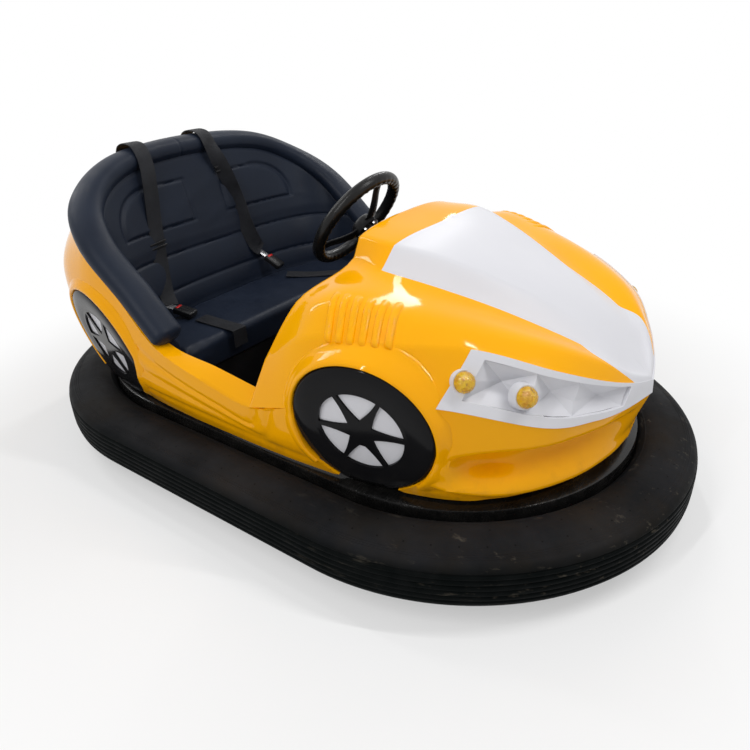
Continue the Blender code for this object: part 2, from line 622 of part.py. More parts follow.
BELT_WIDTH = 0.048
BELTS = {  # shoulder belt, then lap belt, each from the anchor to the buckle or over the cushion's edge
    "right": ([(-0.666, -0.190, 0.790), (-0.652, -0.190, 0.812), (-0.621, -0.190, 0.822), (-0.588, -0.192, 0.812),
               (-0.568, -0.196, 0.770), (-0.550, -0.208, 0.700), (-0.528, -0.225, 0.600), (-0.505, -0.245, 0.500),
               (-0.476, -0.266, 0.420), (-0.450, -0.276, 0.388)],
              [(-0.352, -0.252, 0.3615), (-0.300, -0.250, 0.3600), (-0.240, -0.248, 0.3600),
               (-0.205, -0.247, 0.3600), (-0.199, -0.247, 0.3540), (-0.198, -0.247, 0.310)]),
    "left": ([(-0.671, 0.050, 0.796), (-0.657, 0.050, 0.818), (-0.626, 0.050, 0.828), (-0.592, 0.052, 0.818),
              (-0.573, 0.056, 0.775), (-0.553, 0.082, 0.700), (-0.532, 0.108, 0.610), (-0.505, 0.112, 0.520),
              (-0.488, 0.126, 0.462), (-0.480, 0.142, 0.442)],
             [(-0.390, 0.160, 0.3640), (-0.330, 0.205, 0.3600), (-0.260, 0.265, 0.3600),
              (-0.205, 0.308, 0.3600), (-0.199, 0.313, 0.3540), (-0.198, 0.314, 0.310)]),
}
BUCKLES = {  # middle, then the direction it points
    "right": ((-0.400, -0.268, 0.3755), (0.92, 0.30, -0.22)),
    "left": ((-0.436, 0.152, 0.4030), (0.84, 0.18, -0.52)),
}


def build_belts():
    for name, (shoulder, lap) in BELTS.items():
        across = (0, 1, 0)
        place(f"shoulder_belt_{name}", strap_mesh(smooth_path(shoulder, 3), BELT_WIDTH, 0.002, across), "webbing")
        place(f"lap_belt_{name}", strap_mesh(smooth_path(lap, 3), BELT_WIDTH, 0.002, across), "webbing")
    for name, (middle, direction) in BUCKLES.items():
        body = box_mesh((-0.022, -0.010, -0.034), (0.022, 0.010, 0.034), 0.004)
        heading = Vector(direction).normalized()
        across = Vector((0, 0, 1)).cross(heading).normalized()
        over = heading.cross(across)
        turn = Matrix((across, over, heading)).transposed().to_4x4()
        body.transform(Matrix.Translation(Vector(middle)) @ turn)
        place(f"buckle_{name}", body, "black_plastic")


def build_steering():
    up = Vector((-math.cos(STEERING_TILT), 0, math.sin(STEERING_TILT)))
    frame = Matrix.Translation(STEERING_CENTRE) @ turn_from_z(up)
    circle = [frame @ Vector((STEERING_RADIUS * math.cos(a), STEERING_RADIUS * math.sin(a), 0))
              for a in np.linspace(0, 2 * math.pi, 36, endpoint=False)]
    rim = tube_mesh(circle, RIM_TUBE_RADIUS, 10, closed=True, lie=up)
    wheel = place("steering_wheel", rim, "black_plastic", pivot=STEERING_CENTRE)
    hub = disc_mesh(STEERING_CENTRE - up * 0.030, up, 0.036, 0.030, 24)
    spokes = []
    for angle in (90, 210, 330):
        reach = Vector((math.cos(math.radians(angle)), math.sin(math.radians(angle)), 0))
        start = frame @ (reach * 0.02 + Vector((0, 0, -0.030)))
        end = frame @ (reach * STEERING_RADIUS)
        spokes.append(tube_mesh([start, end], 0.011, 8, lie=up))
    for mesh in (hub, *spokes):
        mesh.transform(Matrix.Translation(-STEERING_CENTRE))
        helper = cutter(mesh)
        helper.location = STEERING_CENTRE
        modifier = wheel.modifiers.new("join", "BOOLEAN")
        modifier.operation = "UNION"
        modifier.object = helper
    shaft_middle = STEERING_CENTRE - up * (0.046 + SHAFT_LENGTH / 2)
    shaft = disc_mesh(shaft_middle, up, 0.010, SHAFT_LENGTH, 16)
    place("steering_shaft", shaft, "bright_steel", pivot=STEERING_CENTRE)
    tube_middle = STEERING_CENTRE - up * (0.055 + 0.34 / 2)
    tube = lathe([(0.0135, -0.17), (0.019, -0.17), (0.019, 0.17), (0.0135, 0.17)], tube_middle, up, 24)
    place("steering_column", tube, "black_steel")


def build_lamps():
    spots = {"outer": (0.580, 0.385, 0.485), "inner": (0.685, 0.325, 0.455)}
    for name, spot in spots.items():
        for side, word in ((1, "left"), (-1, "right")):
            facing = Vector((0.75, 0.55 * side, 0.35)).normalized()
            centre = Vector((spot[0], spot[1] * side, spot[2])) + facing * 0.012
            dome = lathe([(0, 0), (0.027, 0), (0.026, 0.006), (0.021, 0.016), (0.012, 0.022), (0, 0.024)],
                         centre, facing, 20)
            place(f"lamp_{name}_{word}", dome, "amber_lens")


def main():
    clear_scene()
    build_chassis()
    build_front_body()
    build_rear_body()
    build_drive_mount()
    build_drive_unit()
    build_rear_wheels()
    build_discs()
    build_cockpit()
    build_seat()
    build_belts()
    build_steering()
    build_lamps()


main()
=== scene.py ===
# %% [markdown]
# # A two-seat bumper car
# The car is a fibreglass body on a flat steel chassis, inside a fat rubber bumper ring. Riders sit on a
# vinyl bench that a padded roll wraps round, and steer one driven wheel hidden under the nose. This lesson
# loads the engineered frame and dresses it piece by piece: each cell makes one piece or one finish.

# %% The frame
import json
import math

import bmesh
import bpy
import numpy as np
from mathutils import Matrix, Vector
from mathutils.bvhtree import BVHTree


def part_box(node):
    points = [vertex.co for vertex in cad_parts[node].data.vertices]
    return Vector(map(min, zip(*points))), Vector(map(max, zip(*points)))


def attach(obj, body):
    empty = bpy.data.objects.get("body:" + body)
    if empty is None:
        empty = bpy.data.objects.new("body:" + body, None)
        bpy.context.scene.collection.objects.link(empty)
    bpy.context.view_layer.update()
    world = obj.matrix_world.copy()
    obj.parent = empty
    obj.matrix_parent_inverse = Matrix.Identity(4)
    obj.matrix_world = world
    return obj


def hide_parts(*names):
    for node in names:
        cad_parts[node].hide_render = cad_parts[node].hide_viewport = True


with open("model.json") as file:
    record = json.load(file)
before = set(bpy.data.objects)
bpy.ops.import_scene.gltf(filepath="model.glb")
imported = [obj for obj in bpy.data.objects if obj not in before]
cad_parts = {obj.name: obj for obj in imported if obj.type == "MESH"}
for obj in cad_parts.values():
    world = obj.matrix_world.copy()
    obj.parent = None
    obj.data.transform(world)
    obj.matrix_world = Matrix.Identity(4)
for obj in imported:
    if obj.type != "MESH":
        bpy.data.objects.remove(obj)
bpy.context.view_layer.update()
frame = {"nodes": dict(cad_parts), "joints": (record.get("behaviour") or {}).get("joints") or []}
nodes = frame["nodes"]

# %% [markdown]
# ## The camera
# The car is seen from its front right, from standing height. A camera is a place, a heading, a tilt and a
# small roll, and its axes are worked out from those four numbers.

# %% Camera
CAMERA_SPOT = Vector((1.0898, -1.3662, 1.0909))
CAMERA_HEADING = math.radians(126.30)
CAMERA_TILT = math.radians(-28.17)
CAMERA_ROLL = math.radians(-1.76)
camera_data = bpy.data.cameras.new("camera")
camera_data.sensor_width = 36
camera_data.lens = 31.02
camera = bpy.data.objects.new("camera", camera_data)
bpy.context.scene.collection.objects.link(camera)
ahead = Vector((math.cos(CAMERA_TILT) * math.cos(CAMERA_HEADING),
                math.cos(CAMERA_TILT) * math.sin(CAMERA_HEADING), math.sin(CAMERA_TILT)))
level_right = ahead.cross(Vector((0, 0, 1))).normalized()
level_up = level_right.cross(ahead)
camera_right = level_right * math.cos(CAMERA_ROLL) + level_up * math.sin(CAMERA_ROLL)
camera_up = level_up * math.cos(CAMERA_ROLL) - level_right * math.sin(CAMERA_ROLL)
camera_turn = Matrix((camera_right, camera_up, -ahead)).transposed().to_4x4()
camera.matrix_world = Matrix.Translation(CAMERA_SPOT) @ camera_turn
bpy.context.scene.camera = camera
print("camera looks along", [round(value, 3) for value in ahead])

# %% [markdown]
# ## Light and floor
# Glossy fibreglass is judged by what it mirrors. Long, thin lamps overhead draw the bright streaks that
# show each curve, and a pale world fills the rest. Camera, mirror and glass rays see a white backdrop. The
# floor is plain and pale near the car, where it holds the shadow, and fades to white further out.

# %% Lamps and world
LAMPS = [  # name, place, what it points at, width, length, watts
    ("overhead_front", (1.6, 0.3, 2.3), (0.4, 0, 0.4), 0.05, 1.6, 21),
    ("overhead_right", (0.2, -2.0, 2.2), (0.1, 0, 0.4), 0.05, 1.9, 22),
    ("overhead_left", (-0.5, 1.8, 2.6), (0, 0, 0.5), 0.14, 2.2, 17),
    ("behind", (-2.2, -0.4, 2.3), (-0.3, 0, 0.5), 0.20, 1.6, 11),
]
for name, place, target, width, length, watts in LAMPS:
    lamp_data = bpy.data.lights.new(name, "AREA")
    lamp_data.shape = "RECTANGLE"
    lamp_data.size = width
    lamp_data.size_y = length
    lamp_data.energy = watts
    lamp = bpy.data.objects.new(name, lamp_data)
    aim = (Vector(target) - Vector(place)).to_track_quat("-Z", "Y").to_matrix().to_4x4()
    lamp.matrix_world = Matrix.Translation(place) @ aim
    bpy.context.scene.collection.objects.link(lamp)

scene = bpy.context.scene
scene.view_settings.view_transform = "Standard"
scene.world = bpy.data.worlds.new("pale_room")
scene.world.use_nodes = True
WORLD_LIGHT = 0.43


def seen_directly(tree):
    """1 where a camera, mirror or glass ray looks, else 0."""
    path = tree.nodes.new("ShaderNodeLightPath")
    total = path.outputs["Is Camera Ray"]
    for kind in ("Is Glossy Ray", "Is Transmission Ray"):
        add = tree.nodes.new("ShaderNodeMath")
        add.operation = "MAXIMUM"
        tree.links.new(total, add.inputs[0])
        tree.links.new(path.outputs[kind], add.inputs[1])
        total = add.outputs[0]
    return total


sky_tree = scene.world.node_tree
sky = sky_tree.nodes["Background"]
sky.inputs["Color"].default_value = (1, 1, 1, 1)
strength = sky_tree.nodes.new("ShaderNodeMapRange")
strength.inputs["To Min"].default_value = WORLD_LIGHT
strength.inputs["To Max"].default_value = 1.0
sky_tree.links.new(seen_directly(sky_tree), strength.inputs["Value"])
sky_tree.links.new(strength.outputs["Result"], sky.inputs["Strength"])

# %% Floor
bpy.ops.object.select_all(action="DESELECT")
bpy.ops.mesh.primitive_circle_add(vertices=96, radius=30, fill_type="NGON", location=(0, 0, 0))
floor = bpy.context.object
floor.name = "floor"
floor_finish = bpy.data.materials.new("pale_floor")
floor_finish.use_nodes = True
floor_tree = floor_finish.node_tree
paint = floor_tree.nodes["Principled BSDF"]
paint.inputs["Base Color"].default_value = (0.90, 0.90, 0.90, 1)
paint.inputs["Roughness"].default_value = 0.9
paint.inputs["Specular IOR Level"].default_value = 0.0
spot = floor_tree.nodes.new("ShaderNodeTexCoord")
reach = floor_tree.nodes.new("ShaderNodeVectorMath")
reach.operation = "LENGTH"
fade = floor_tree.nodes.new("ShaderNodeMapRange")
fade.interpolation_type = "SMOOTHSTEP"
fade.inputs["From Min"].default_value = 1.0
fade.inputs["From Max"].default_value = 1.7
fade.inputs["To Min"].default_value = 0.45
both = floor_tree.nodes.new("ShaderNodeMath")
both.operation = "MULTIPLY"
glow = floor_tree.nodes.new("ShaderNodeEmission")
glow.inputs["Color"].default_value = (1, 1, 1, 1)
blend = floor_tree.nodes.new("ShaderNodeMixShader")
floor_tree.links.new(spot.outputs["Object"], reach.inputs[0])
floor_tree.links.new(reach.outputs["Value"], fade.inputs["Value"])
floor_tree.links.new(fade.outputs["Result"], both.inputs[0])
floor_tree.links.new(seen_directly(floor_tree), both.inputs[1])
floor_tree.links.new(both.outputs[0], blend.inputs["Fac"])
floor_tree.links.new(paint.outputs["BSDF"], blend.inputs[1])
floor_tree.links.new(glow.outputs["Emission"], blend.inputs[2])
floor_tree.links.new(blend.outputs["Shader"], floor_tree.nodes["Material Output"].inputs["Surface"])
floor.data.materials.append(floor_finish)

# %% [markdown]
# ## Finishes
# A believable finish varies: colour drifts a little, gloss changes where hands and dust have been, and a
# bump gives the skin of the material. One small recipe builder keeps each finish short, and what is the
# same all over a surface, such as sheen or metal, is set on the shader itself.

# %% Finish helpers
class Finish:
    """A material whose nodes are added one at a time."""

    def __init__(self, name, roughness=0.5, metallic=0.0, **direct):
        self.material = bpy.data.materials.new(name)
        self.material.use_nodes = True
        self.tree = self.material.node_tree
        self.shader = self.tree.nodes["Principled BSDF"]
        self.shader.inputs["Roughness"].default_value = roughness
        self.shader.inputs["Metallic"].default_value = metallic
        for socket, value in direct.items():
            self.shader.inputs[socket.replace("_", " ")].default_value = value
        self.place = self.tree.nodes.new("ShaderNodeTexCoord").outputs["Object"]
        self.last_bump = None

    def link(self, output, node_input):
        self.tree.links.new(output, node_input)

    def add(self, kind, **values):
        """A new node of one kind, with some of its inputs set."""
        node = self.tree.nodes.new("ShaderNode" + kind)
        for socket, value in values.items():
            node.inputs[socket.replace("_", " ")].default_value = value
        return node

    def stretched(self, scale):
        node = self.add("Mapping", Scale=scale)
        self.link(self.place, node.inputs["Vector"])
        return node.outputs["Vector"]

    def noise(self, scale, detail=3.0, rough=0.5, vector=None):
        node = self.add("TexNoise", Scale=scale, Detail=detail, Roughness=rough)
        self.link(vector or self.place, node.inputs["Vector"])
        return node.outputs["Fac"]

    def cells(self, scale, feature="F1"):
        node = self.add("TexVoronoi", Scale=scale)
        node.feature = feature
        self.link(self.place, node.inputs["Vector"])
        return node.outputs["Distance"]

    def remap(self, value, low, high, new_low=0.0, new_high=1.0):
        node = self.add("MapRange", From_Min=low, From_Max=high, To_Min=new_low, To_Max=new_high)
        self.link(value, node.inputs["Value"])
        return node.outputs["Result"]

    def maths(self, operation, a, b=None):
        node = self.add("Math")
        node.operation = operation
        for socket, value in zip(node.inputs, (a, b)):
            if isinstance(value, (int, float)):
                socket.default_value = value
            elif value is not None:
                self.link(value, socket)
        return node.outputs[0]

    def attribute(self, name):
        node = self.add("Attribute")
        node.attribute_name = name
        return node.outputs["Fac"]

    def axes(self):
        node = self.add("SeparateXYZ")
        self.link(self.place, node.inputs[0])
        return node.outputs

    def mix(self, factor, first, second):
        node = self.add("Mix")
        node.data_type = "RGBA"
        self.link(factor, node.inputs[0])
        for socket, value in ((node.inputs[6], first), (node.inputs[7], second)):
            if isinstance(value, tuple):
                socket.default_value = (*value, 1)
            else:
                self.link(value, socket)
        return node.outputs[2]

    def colour(self, output):
        self.link(output, self.shader.inputs["Base Color"])

    def roughness(self, output):
        self.link(output, self.shader.inputs["Roughness"])

    def bump(self, height, distance, strength=1.0):
        node = self.add("Bump", Distance=distance, Strength=strength)
        self.link(height, node.inputs["Height"])
        if self.last_bump:
            self.link(self.last_bump, node.inputs["Normal"])
        self.last_bump = node.outputs["Normal"]
        self.link(self.last_bump, self.shader.inputs["Normal"])


# %% [markdown]
# ### Gelcoat
# Fibreglass comes out of its mould with a thick coloured gelcoat: very glossy, slightly wavy, with a fine
# orange peel. Years of knocks leave faint polishing haze and a little dirt low down. A low roughness gives
# the clear gloss, and two noises give the waviness.

# %% Gelcoat finishes
def gelcoat(name, clean, drift, dirt, gloss=0.035, shine=0.13):
    finish = Finish(name, gloss, 0.0, Specular_IOR_Level=shine)
    tint = finish.mix(finish.remap(finish.noise(3.5, 4), 0.35, 0.70), clean, drift)
    height = finish.axes()[2]
    low_down = finish.remap(height, 0.20, 0.30, 1.0, 0.0)
    patchy = finish.remap(finish.noise(22, 8, 0.65), 0.48, 0.72)
    soil = finish.maths("MULTIPLY", finish.maths("MULTIPLY", low_down, patchy), 0.35)
    specks = finish.remap(finish.cells(95), 0.0, 0.045, 0.12, 0.0)
    thin = finish.remap(finish.noise(9, 3), 0.55, 0.70)
    soil = finish.maths("MAXIMUM", soil, finish.maths("MULTIPLY", specks, thin))
    finish.colour(finish.mix(soil, tint, dirt))
    haze = finish.remap(finish.noise(14, 6, 0.6), 0.40, 0.80, gloss, gloss + 0.07)
    finish.roughness(haze)
    finish.bump(finish.noise(7, 2), 0.0012, 0.4)
    finish.bump(finish.noise(240, 2), 0.00008, 0.25)
    return finish.material


yellow = gelcoat("yellow_gelcoat", (0.96, 0.43, 0.0008), (0.93, 0.395, 0.0008), (0.30, 0.13, 0.02))
white = gelcoat("white_gelcoat", (0.69, 0.69, 0.725), (0.655, 0.655, 0.69), (0.30, 0.27, 0.22), 0.34)
black = gelcoat("black_gelcoat", (0.006, 0.006, 0.007), (0.010, 0.010, 0.011), (0.03, 0.027, 0.024),
                gloss=0.10, shine=0.08)

# %% [markdown]
# ### Bumper rubber
# The ring is a fat tyre: its sidewall faces up and has gone dull grey with dust, its tread faces out and
# stays black. Rows of sunk vent dots, painted near black as the shade inside them, and fine moulding lines
# run round it, and knocks have left pale scuffs at the front. Attributes made with the mesh tell the finish
# how far round and how far in each point is.

# %% Bumper rubber finish
def bumper_finish():
    finish = Finish("bumper_rubber", 0.6, 0.0, Specular_IOR_Level=0.025)
    x, y, z = finish.axes()
    inset = finish.attribute("inset")
    around = finish.attribute("around")
    top = finish.remap(z, 0.146, 0.170)
    cloud = finish.remap(finish.noise(4.5, 6, 0.62), 0.35, 0.70)
    wall = finish.mix(cloud, (0.0080, 0.0085, 0.0095), (0.021, 0.021, 0.023))
    brown = finish.maths("MULTIPLY", finish.remap(finish.noise(3.0, 5, 0.6), 0.50, 0.70), 0.50)
    wall = finish.mix(brown, wall, (0.027, 0.020, 0.012))
    speckle = finish.remap(finish.noise(30, 5), 0.4, 0.75)
    side = finish.mix(speckle, (0.0020, 0.0030, 0.0030), (0.005, 0.006, 0.006))
    base = finish.mix(top, side, wall)
    streak = finish.noise(1.0, 6, 0.7, finish.stretched((11, 26, 60)))
    scuffs = finish.remap(streak, 0.59, 0.72)
    front = finish.remap(x, 0.15, 0.80)
    worn = finish.maths("MULTIPLY", scuffs, front)
    base = finish.mix(finish.maths("MULTIPLY", worn, 0.55), base, (0.15, 0.13, 0.10))
    grit = finish.remap(finish.cells(260), 0.0, 0.10, 0.5, 0.0)
    grit = finish.maths("MULTIPLY", grit, finish.remap(finish.noise(6, 4), 0.50, 0.68))
    base = finish.mix(grit, base, (0.18, 0.17, 0.15))
    vent_dots_and_shade = None
    for ring, pitch in ((0.050, 0.055), (0.090, 0.082)):
        step = finish.maths("FRACT", finish.maths("DIVIDE", around, pitch))
        off = finish.maths("MULTIPLY", finish.maths("SUBTRACT", step, 0.5), pitch)
        span = finish.maths("SUBTRACT", inset, ring)
        square = finish.maths("ADD", finish.maths("MULTIPLY", off, off), finish.maths("MULTIPLY", span, span))
        dot = finish.remap(square, 2.0e-6, 5.0e-6, 1.0, 0.0)
        dot = finish.maths("MULTIPLY", dot, top)
        vent_dots_and_shade = dot if vent_dots_and_shade is None else finish.maths("MAXIMUM", vent_dots_and_shade, dot)
    # The vent dots are painted near black: this is painted shade inside the sunk holes, and the same mask sinks them in
    # the bump below.
    base = finish.mix(finish.maths("MULTIPLY", vent_dots_and_shade, 0.9), base, (0.003, 0.003, 0.003))
    finish.colour(base)
    finish.roughness(finish.remap(finish.noise(12, 6, 0.65), 0.3, 0.8, 0.38, 0.66))
    finish.bump(finish.noise(14, 5, 0.6), 0.004, 0.35)
    finish.bump(finish.noise(300, 3), 0.0003, 0.6)
    finish.bump(vent_dots_and_shade, 0.001, -1.0)
    finish.bump(scuffs, 0.0006, 0.5)
    return finish.material


ring_rubber = bumper_finish()

# %% [markdown]
# ### Vinyl, webbing, plastic and metal
# Seat vinyl is a printed grain of small cells over soft foam, with a faint sheen that cools its highlights.
# Webbing is woven, so its bump runs along and across the strap. Painted steel is glossy with grit, plastic
# is satin with a fine spark grain, and machined steel is brushed round its axis.

# %% Soft finishes
def vinyl_finish():
    finish = Finish("seat_vinyl", 0.42, 0.0, Specular_IOR_Level=0.15, Sheen_Weight=0.02, Sheen_Roughness=0.5)
    finish.shader.inputs["Sheen Tint"].default_value = (0.55, 0.62, 0.90, 1)
    cloud = finish.remap(finish.noise(5, 5), 0.35, 0.70)
    finish.colour(finish.mix(cloud, (0.0062, 0.0100, 0.0200), (0.0110, 0.0165, 0.0300)))
    finish.roughness(finish.remap(finish.noise(10, 5, 0.6), 0.3, 0.8, 0.36, 0.55))
    finish.bump(finish.noise(9, 3), 0.004, 0.25)
    finish.bump(finish.cells(420, "DISTANCE_TO_EDGE"), 0.0004, 0.55)
    return finish.material


def webbing_finish():
    finish = Finish("webbing", 0.62, 0.0, Specular_IOR_Level=0.18, Sheen_Weight=0.05, Sheen_Roughness=0.4)
    along = finish.attribute("along")
    across = finish.attribute("across")
    rib = finish.maths("SINE", finish.maths("MULTIPLY", across, 2 * math.pi / 0.0032))
    pick = finish.maths("SINE", finish.maths("MULTIPLY", along, 2 * math.pi / 0.0022))
    weave = finish.maths("MULTIPLY", rib, pick)
    fade_map = finish.remap(finish.noise(18, 5), 0.35, 0.75)
    finish.colour(finish.mix(fade_map, (0.0050, 0.0055, 0.0075), (0.014, 0.015, 0.019)))
    finish.roughness(finish.remap(finish.noise(25, 4), 0.3, 0.8, 0.45, 0.75))
    finish.bump(rib, 0.00035, 0.6)
    finish.bump(weave, 0.00025, 0.6)
    return finish.material


def plastic_finish(name, dark, light, low, high, grain=900):
    finish = Finish(name, low, 0.0, Specular_IOR_Level=0.22)
    finish.colour(finish.mix(finish.remap(finish.noise(12, 4), 0.35, 0.75), dark, light))
    finish.roughness(finish.remap(finish.noise(20, 5, 0.6), 0.3, 0.8, low, high))
    finish.bump(finish.noise(grain, 2), 0.00015, 0.4)
    return finish.material


def steel_finish(name, dark, light, low, high, metallic, grit_scale=180):
    finish = Finish(name, low, metallic, Specular_IOR_Level=0.3)
    finish.colour(finish.mix(finish.remap(finish.noise(16, 6, 0.65), 0.40, 0.75), dark, light))
    brushed = finish.noise(1.0, 4, 0.7, finish.stretched((grit_scale, grit_scale * 0.08, grit_scale)))
    finish.roughness(finish.remap(brushed, 0.3, 0.75, low, high))
    finish.bump(finish.noise(grit_scale, 5), 0.0003, 0.35)
    return finish.material


vinyl = vinyl_finish()
webbing = webbing_finish()
satin_plastic = plastic_finish("black_plastic", (0.006, 0.006, 0.007), (0.013, 0.013, 0.014), 0.24, 0.42)
grip_plastic = plastic_finish("grip_plastic", (0.004, 0.004, 0.004), (0.009, 0.009, 0.009), 0.22, 0.38, 600)
mat_rubber = plastic_finish("floor_rubber", (0.010, 0.010, 0.010), (0.024, 0.022, 0.020), 0.55, 0.80, 400)
wheel_rubber = plastic_finish("wheel_rubber", (0.015, 0.015, 0.015), (0.040, 0.038, 0.035), 0.60, 0.85, 300)
battery_case = plastic_finish("battery_case", (0.030, 0.030, 0.034), (0.055, 0.055, 0.060), 0.40, 0.60)
black_steel = steel_finish("black_steel", (0.004, 0.004, 0.004), (0.016, 0.015, 0.014), 0.12, 0.36, 0.0)
bright_steel = steel_finish("bright_steel", (0.42, 0.42, 0.43), (0.62, 0.62, 0.63), 0.18, 0.40, 1.0)
red_plastic = plastic_finish("red_plastic", (0.42, 0.010, 0.010), (0.52, 0.020, 0.018), 0.30, 0.45)


def lens_finish():
    finish = Finish("amber_lens", 0.04, 0.0, Transmission_Weight=0.35, IOR=1.49)
    grain = finish.remap(finish.noise(110, 3), 0.35, 0.65)
    glow = finish.mix(grain, (0.74, 0.36, 0.0005), (0.98, 0.62, 0.003))
    # The dark brown patches are painted dark reflections, standing for the dark facets a faceted glass dome shows.
    finish.colour(finish.mix(finish.remap(finish.noise(60, 3, 0.6), 0.60, 0.72), glow, (0.34, 0.14, 0.001)))
    finish.bump(finish.cells(210), 0.0018, 0.8)
    return finish.material


amber = lens_finish()
print("finishes:", [material.name for material in bpy.data.materials if material.use_nodes][:20])


# %% [markdown]
# ## Shapes that follow lines
# A moulded body is drawn as a few long feature lines, and its skin is the smooth surface that passes
# through them. Both directions use the same idea: a curve through the points. Across the lines, some are
# soft and some are creases, so each line has its own softness.

# %% Curves and surfaces
def curve_through(points, steps):
    """Points along a smooth curve through the given ones, steps for each stretch."""
    spots = np.array([tuple(p) for p in points], float)
    knots = np.concatenate([[2 * spots[0] - spots[1]], spots, [2 * spots[-1] - spots[-2]]])
    share = np.arange(steps)[:, None] / steps
    out = []
    for a, b, c, d in zip(knots, knots[1:], knots[2:], knots[3:]):
        out.append(0.5 * (2 * b + (c - a) * share + (2 * a - 5 * b + 4 * c - d) * share**2
                          + (3 * b - a - 3 * c + d) * share**3))
    return np.concatenate([*out, spots[-1:]])


def across_lines(curves, softness, places):
    """Points across a stack of lines at the given places, where 1.5 is halfway from line 1 to line 2.
    curves is lines by columns by 3, and places is rows by columns."""
    count = len(curves)
    gaps = np.linalg.norm(np.diff(curves, axis=0), axis=2)[..., None] + 1e-9
    slopes = np.diff(curves, axis=0) / gaps
    before = np.zeros_like(curves)
    after = np.zeros_like(curves)
    for k in range(count):
        low = slopes[max(k - 1, 0)]
        high = slopes[min(k, count - 2)]
        low_gap = gaps[max(k - 1, 0)]
        high_gap = gaps[min(k, count - 2)]
        shared = (low * high_gap + high * low_gap) / (low_gap + high_gap)
        before[k] = shared * softness[k] + low * (1 - softness[k])
        after[k] = shared * softness[k] + high * (1 - softness[k])
    rows = []
    columns = np.arange(curves.shape[1])
    for place_row in places:
        k = np.clip(np.floor(place_row).astype(int), 0, count - 2)
        t = (place_row - k)[:, None]
        start, end = curves[k, columns], curves[k + 1, columns]
        gap = gaps[k, columns]
        rows.append((2 * t**3 - 3 * t**2 + 1) * start + (t**3 - 2 * t**2 + t) * gap * after[k, columns]
                    + (3 * t**2 - 2 * t**3) * end + (t**3 - t**2) * gap * before[k + 1, columns])
    return np.array(rows)


def grid_normals(grid):
    """Outward directions at each point of a left-hand grid."""
    along = np.gradient(grid, axis=1)
    over = np.gradient(grid, axis=0)
    normals = np.cross(along, over)
    lengths = np.linalg.norm(normals, axis=2, keepdims=True)
    normals = normals / np.maximum(lengths, 1e-12)
    middle = np.abs(grid[..., 1]) < 1e-5
    normals[middle, 1] = 0
    normals /= np.maximum(np.linalg.norm(normals, axis=2, keepdims=True), 1e-12)
    return normals


# %% [markdown]
# A piece is made from points and faces, welded, turned outwards, shaded smooth up to an angle, and told
# which body it rides on, and the engineered solids it stands for are hidden.

# %% Making a piece
def make_piece(name, points, faces, finish, slot, body="car", stands_for=(), sharp=38, **marks):
    mesh = bpy.data.meshes.new(name)
    mesh.from_pydata(np.asarray(points, float).tolist(), [], faces)
    for mark, values in marks.items():
        layer = mesh.attributes.new(mark, "FLOAT", "POINT")
        layer.data.foreach_set("value", np.asarray(values, np.float32))
    work = bmesh.new()
    work.from_mesh(mesh)
    bmesh.ops.remove_doubles(work, verts=work.verts, dist=2e-6)
    bmesh.ops.dissolve_degenerate(work, edges=work.edges, dist=1e-7)
    bmesh.ops.recalc_face_normals(work, faces=work.faces)
    work.to_mesh(mesh)
    work.free()
    piece = bpy.data.objects.new(name, mesh)
    bpy.context.scene.collection.objects.link(piece)
    return settle(piece, finish, body, stands_for, sharp)


def settle(piece, finish, body, stands_for, sharp):
    """Shades a piece, says what it is made of and what it rides on, and hides the solids it stands for."""
    piece.data.materials.append(finish)
    piece.data.shade_smooth()
    piece.data.set_sharp_from_angle(angle=math.radians(sharp))
    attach(piece, body)
    if stands_for:
        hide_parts(*stands_for)
    return piece


def select_only(piece):
    bpy.ops.object.select_all(action="DESELECT")
    piece.select_set(True)
    bpy.context.view_layer.objects.active = piece


def adopt(piece, name, finish, body="car", stands_for=(), sharp=38):
    """Finishes a piece that operators have made: applies its place, shades it and lets it ride."""
    select_only(piece)
    bpy.ops.object.transform_apply(location=True, rotation=True, scale=True)
    piece.name = name
    piece.data.materials.clear()
    return settle(piece, finish, body, stands_for, sharp)


def tube_faces(rings, count, ends=True):
    """Faces that join rings of points laid one after another, and one face over each end."""
    faces = []
    for k in range(rings - 1):
        here, there = k * count, (k + 1) * count
        faces += [[here + s, here + (s + 1) % count, there + (s + 1) % count, there + s] for s in range(count)]
    if ends:
        faces += [list(range(count))[::-1], list(range((rings - 1) * count, rings * count))]
    return faces


def circle(radius, z, steps):
    return [(radius * math.cos(a), radius * math.sin(a), z)
            for a in np.linspace(0, 2 * math.pi, steps, endpoint=False)]


def placed_at(where, points):
    return np.array([where @ Vector(p) for p in points])


def shell(outer, normals, quads, thickness):
    """A closed skin: the outer faces, the same faces further in, and a wall round every free edge."""
    used = np.unique(np.concatenate([np.asarray(quad) for quad in quads]))
    index = {int(v): k for k, v in enumerate(used)}
    points = np.concatenate([outer[used], outer[used] - normals[used] * thickness])
    count = len(used)
    edges = {}
    for quad in quads:
        for k, v in enumerate(quad):
            edges[(quad[k - 1], v)] = 1
    faces = [[index[v] for v in quad] for quad in quads]
    faces += [[index[v] + count for v in quad][::-1] for quad in quads]
    faces += [[index[b], index[a], index[a] + count, index[b] + count]
              for a, b in edges if (b, a) not in edges]
    return points, faces


def two_sides(grid, normals):
    """A left-hand grid and its mirror, as flat lists of points and normals."""
    flip = np.array([1, -1, 1])
    points = np.concatenate([grid.reshape(-1, 3), grid.reshape(-1, 3) * flip])
    directions = np.concatenate([normals.reshape(-1, 3), normals.reshape(-1, 3) * flip])
    return points, directions


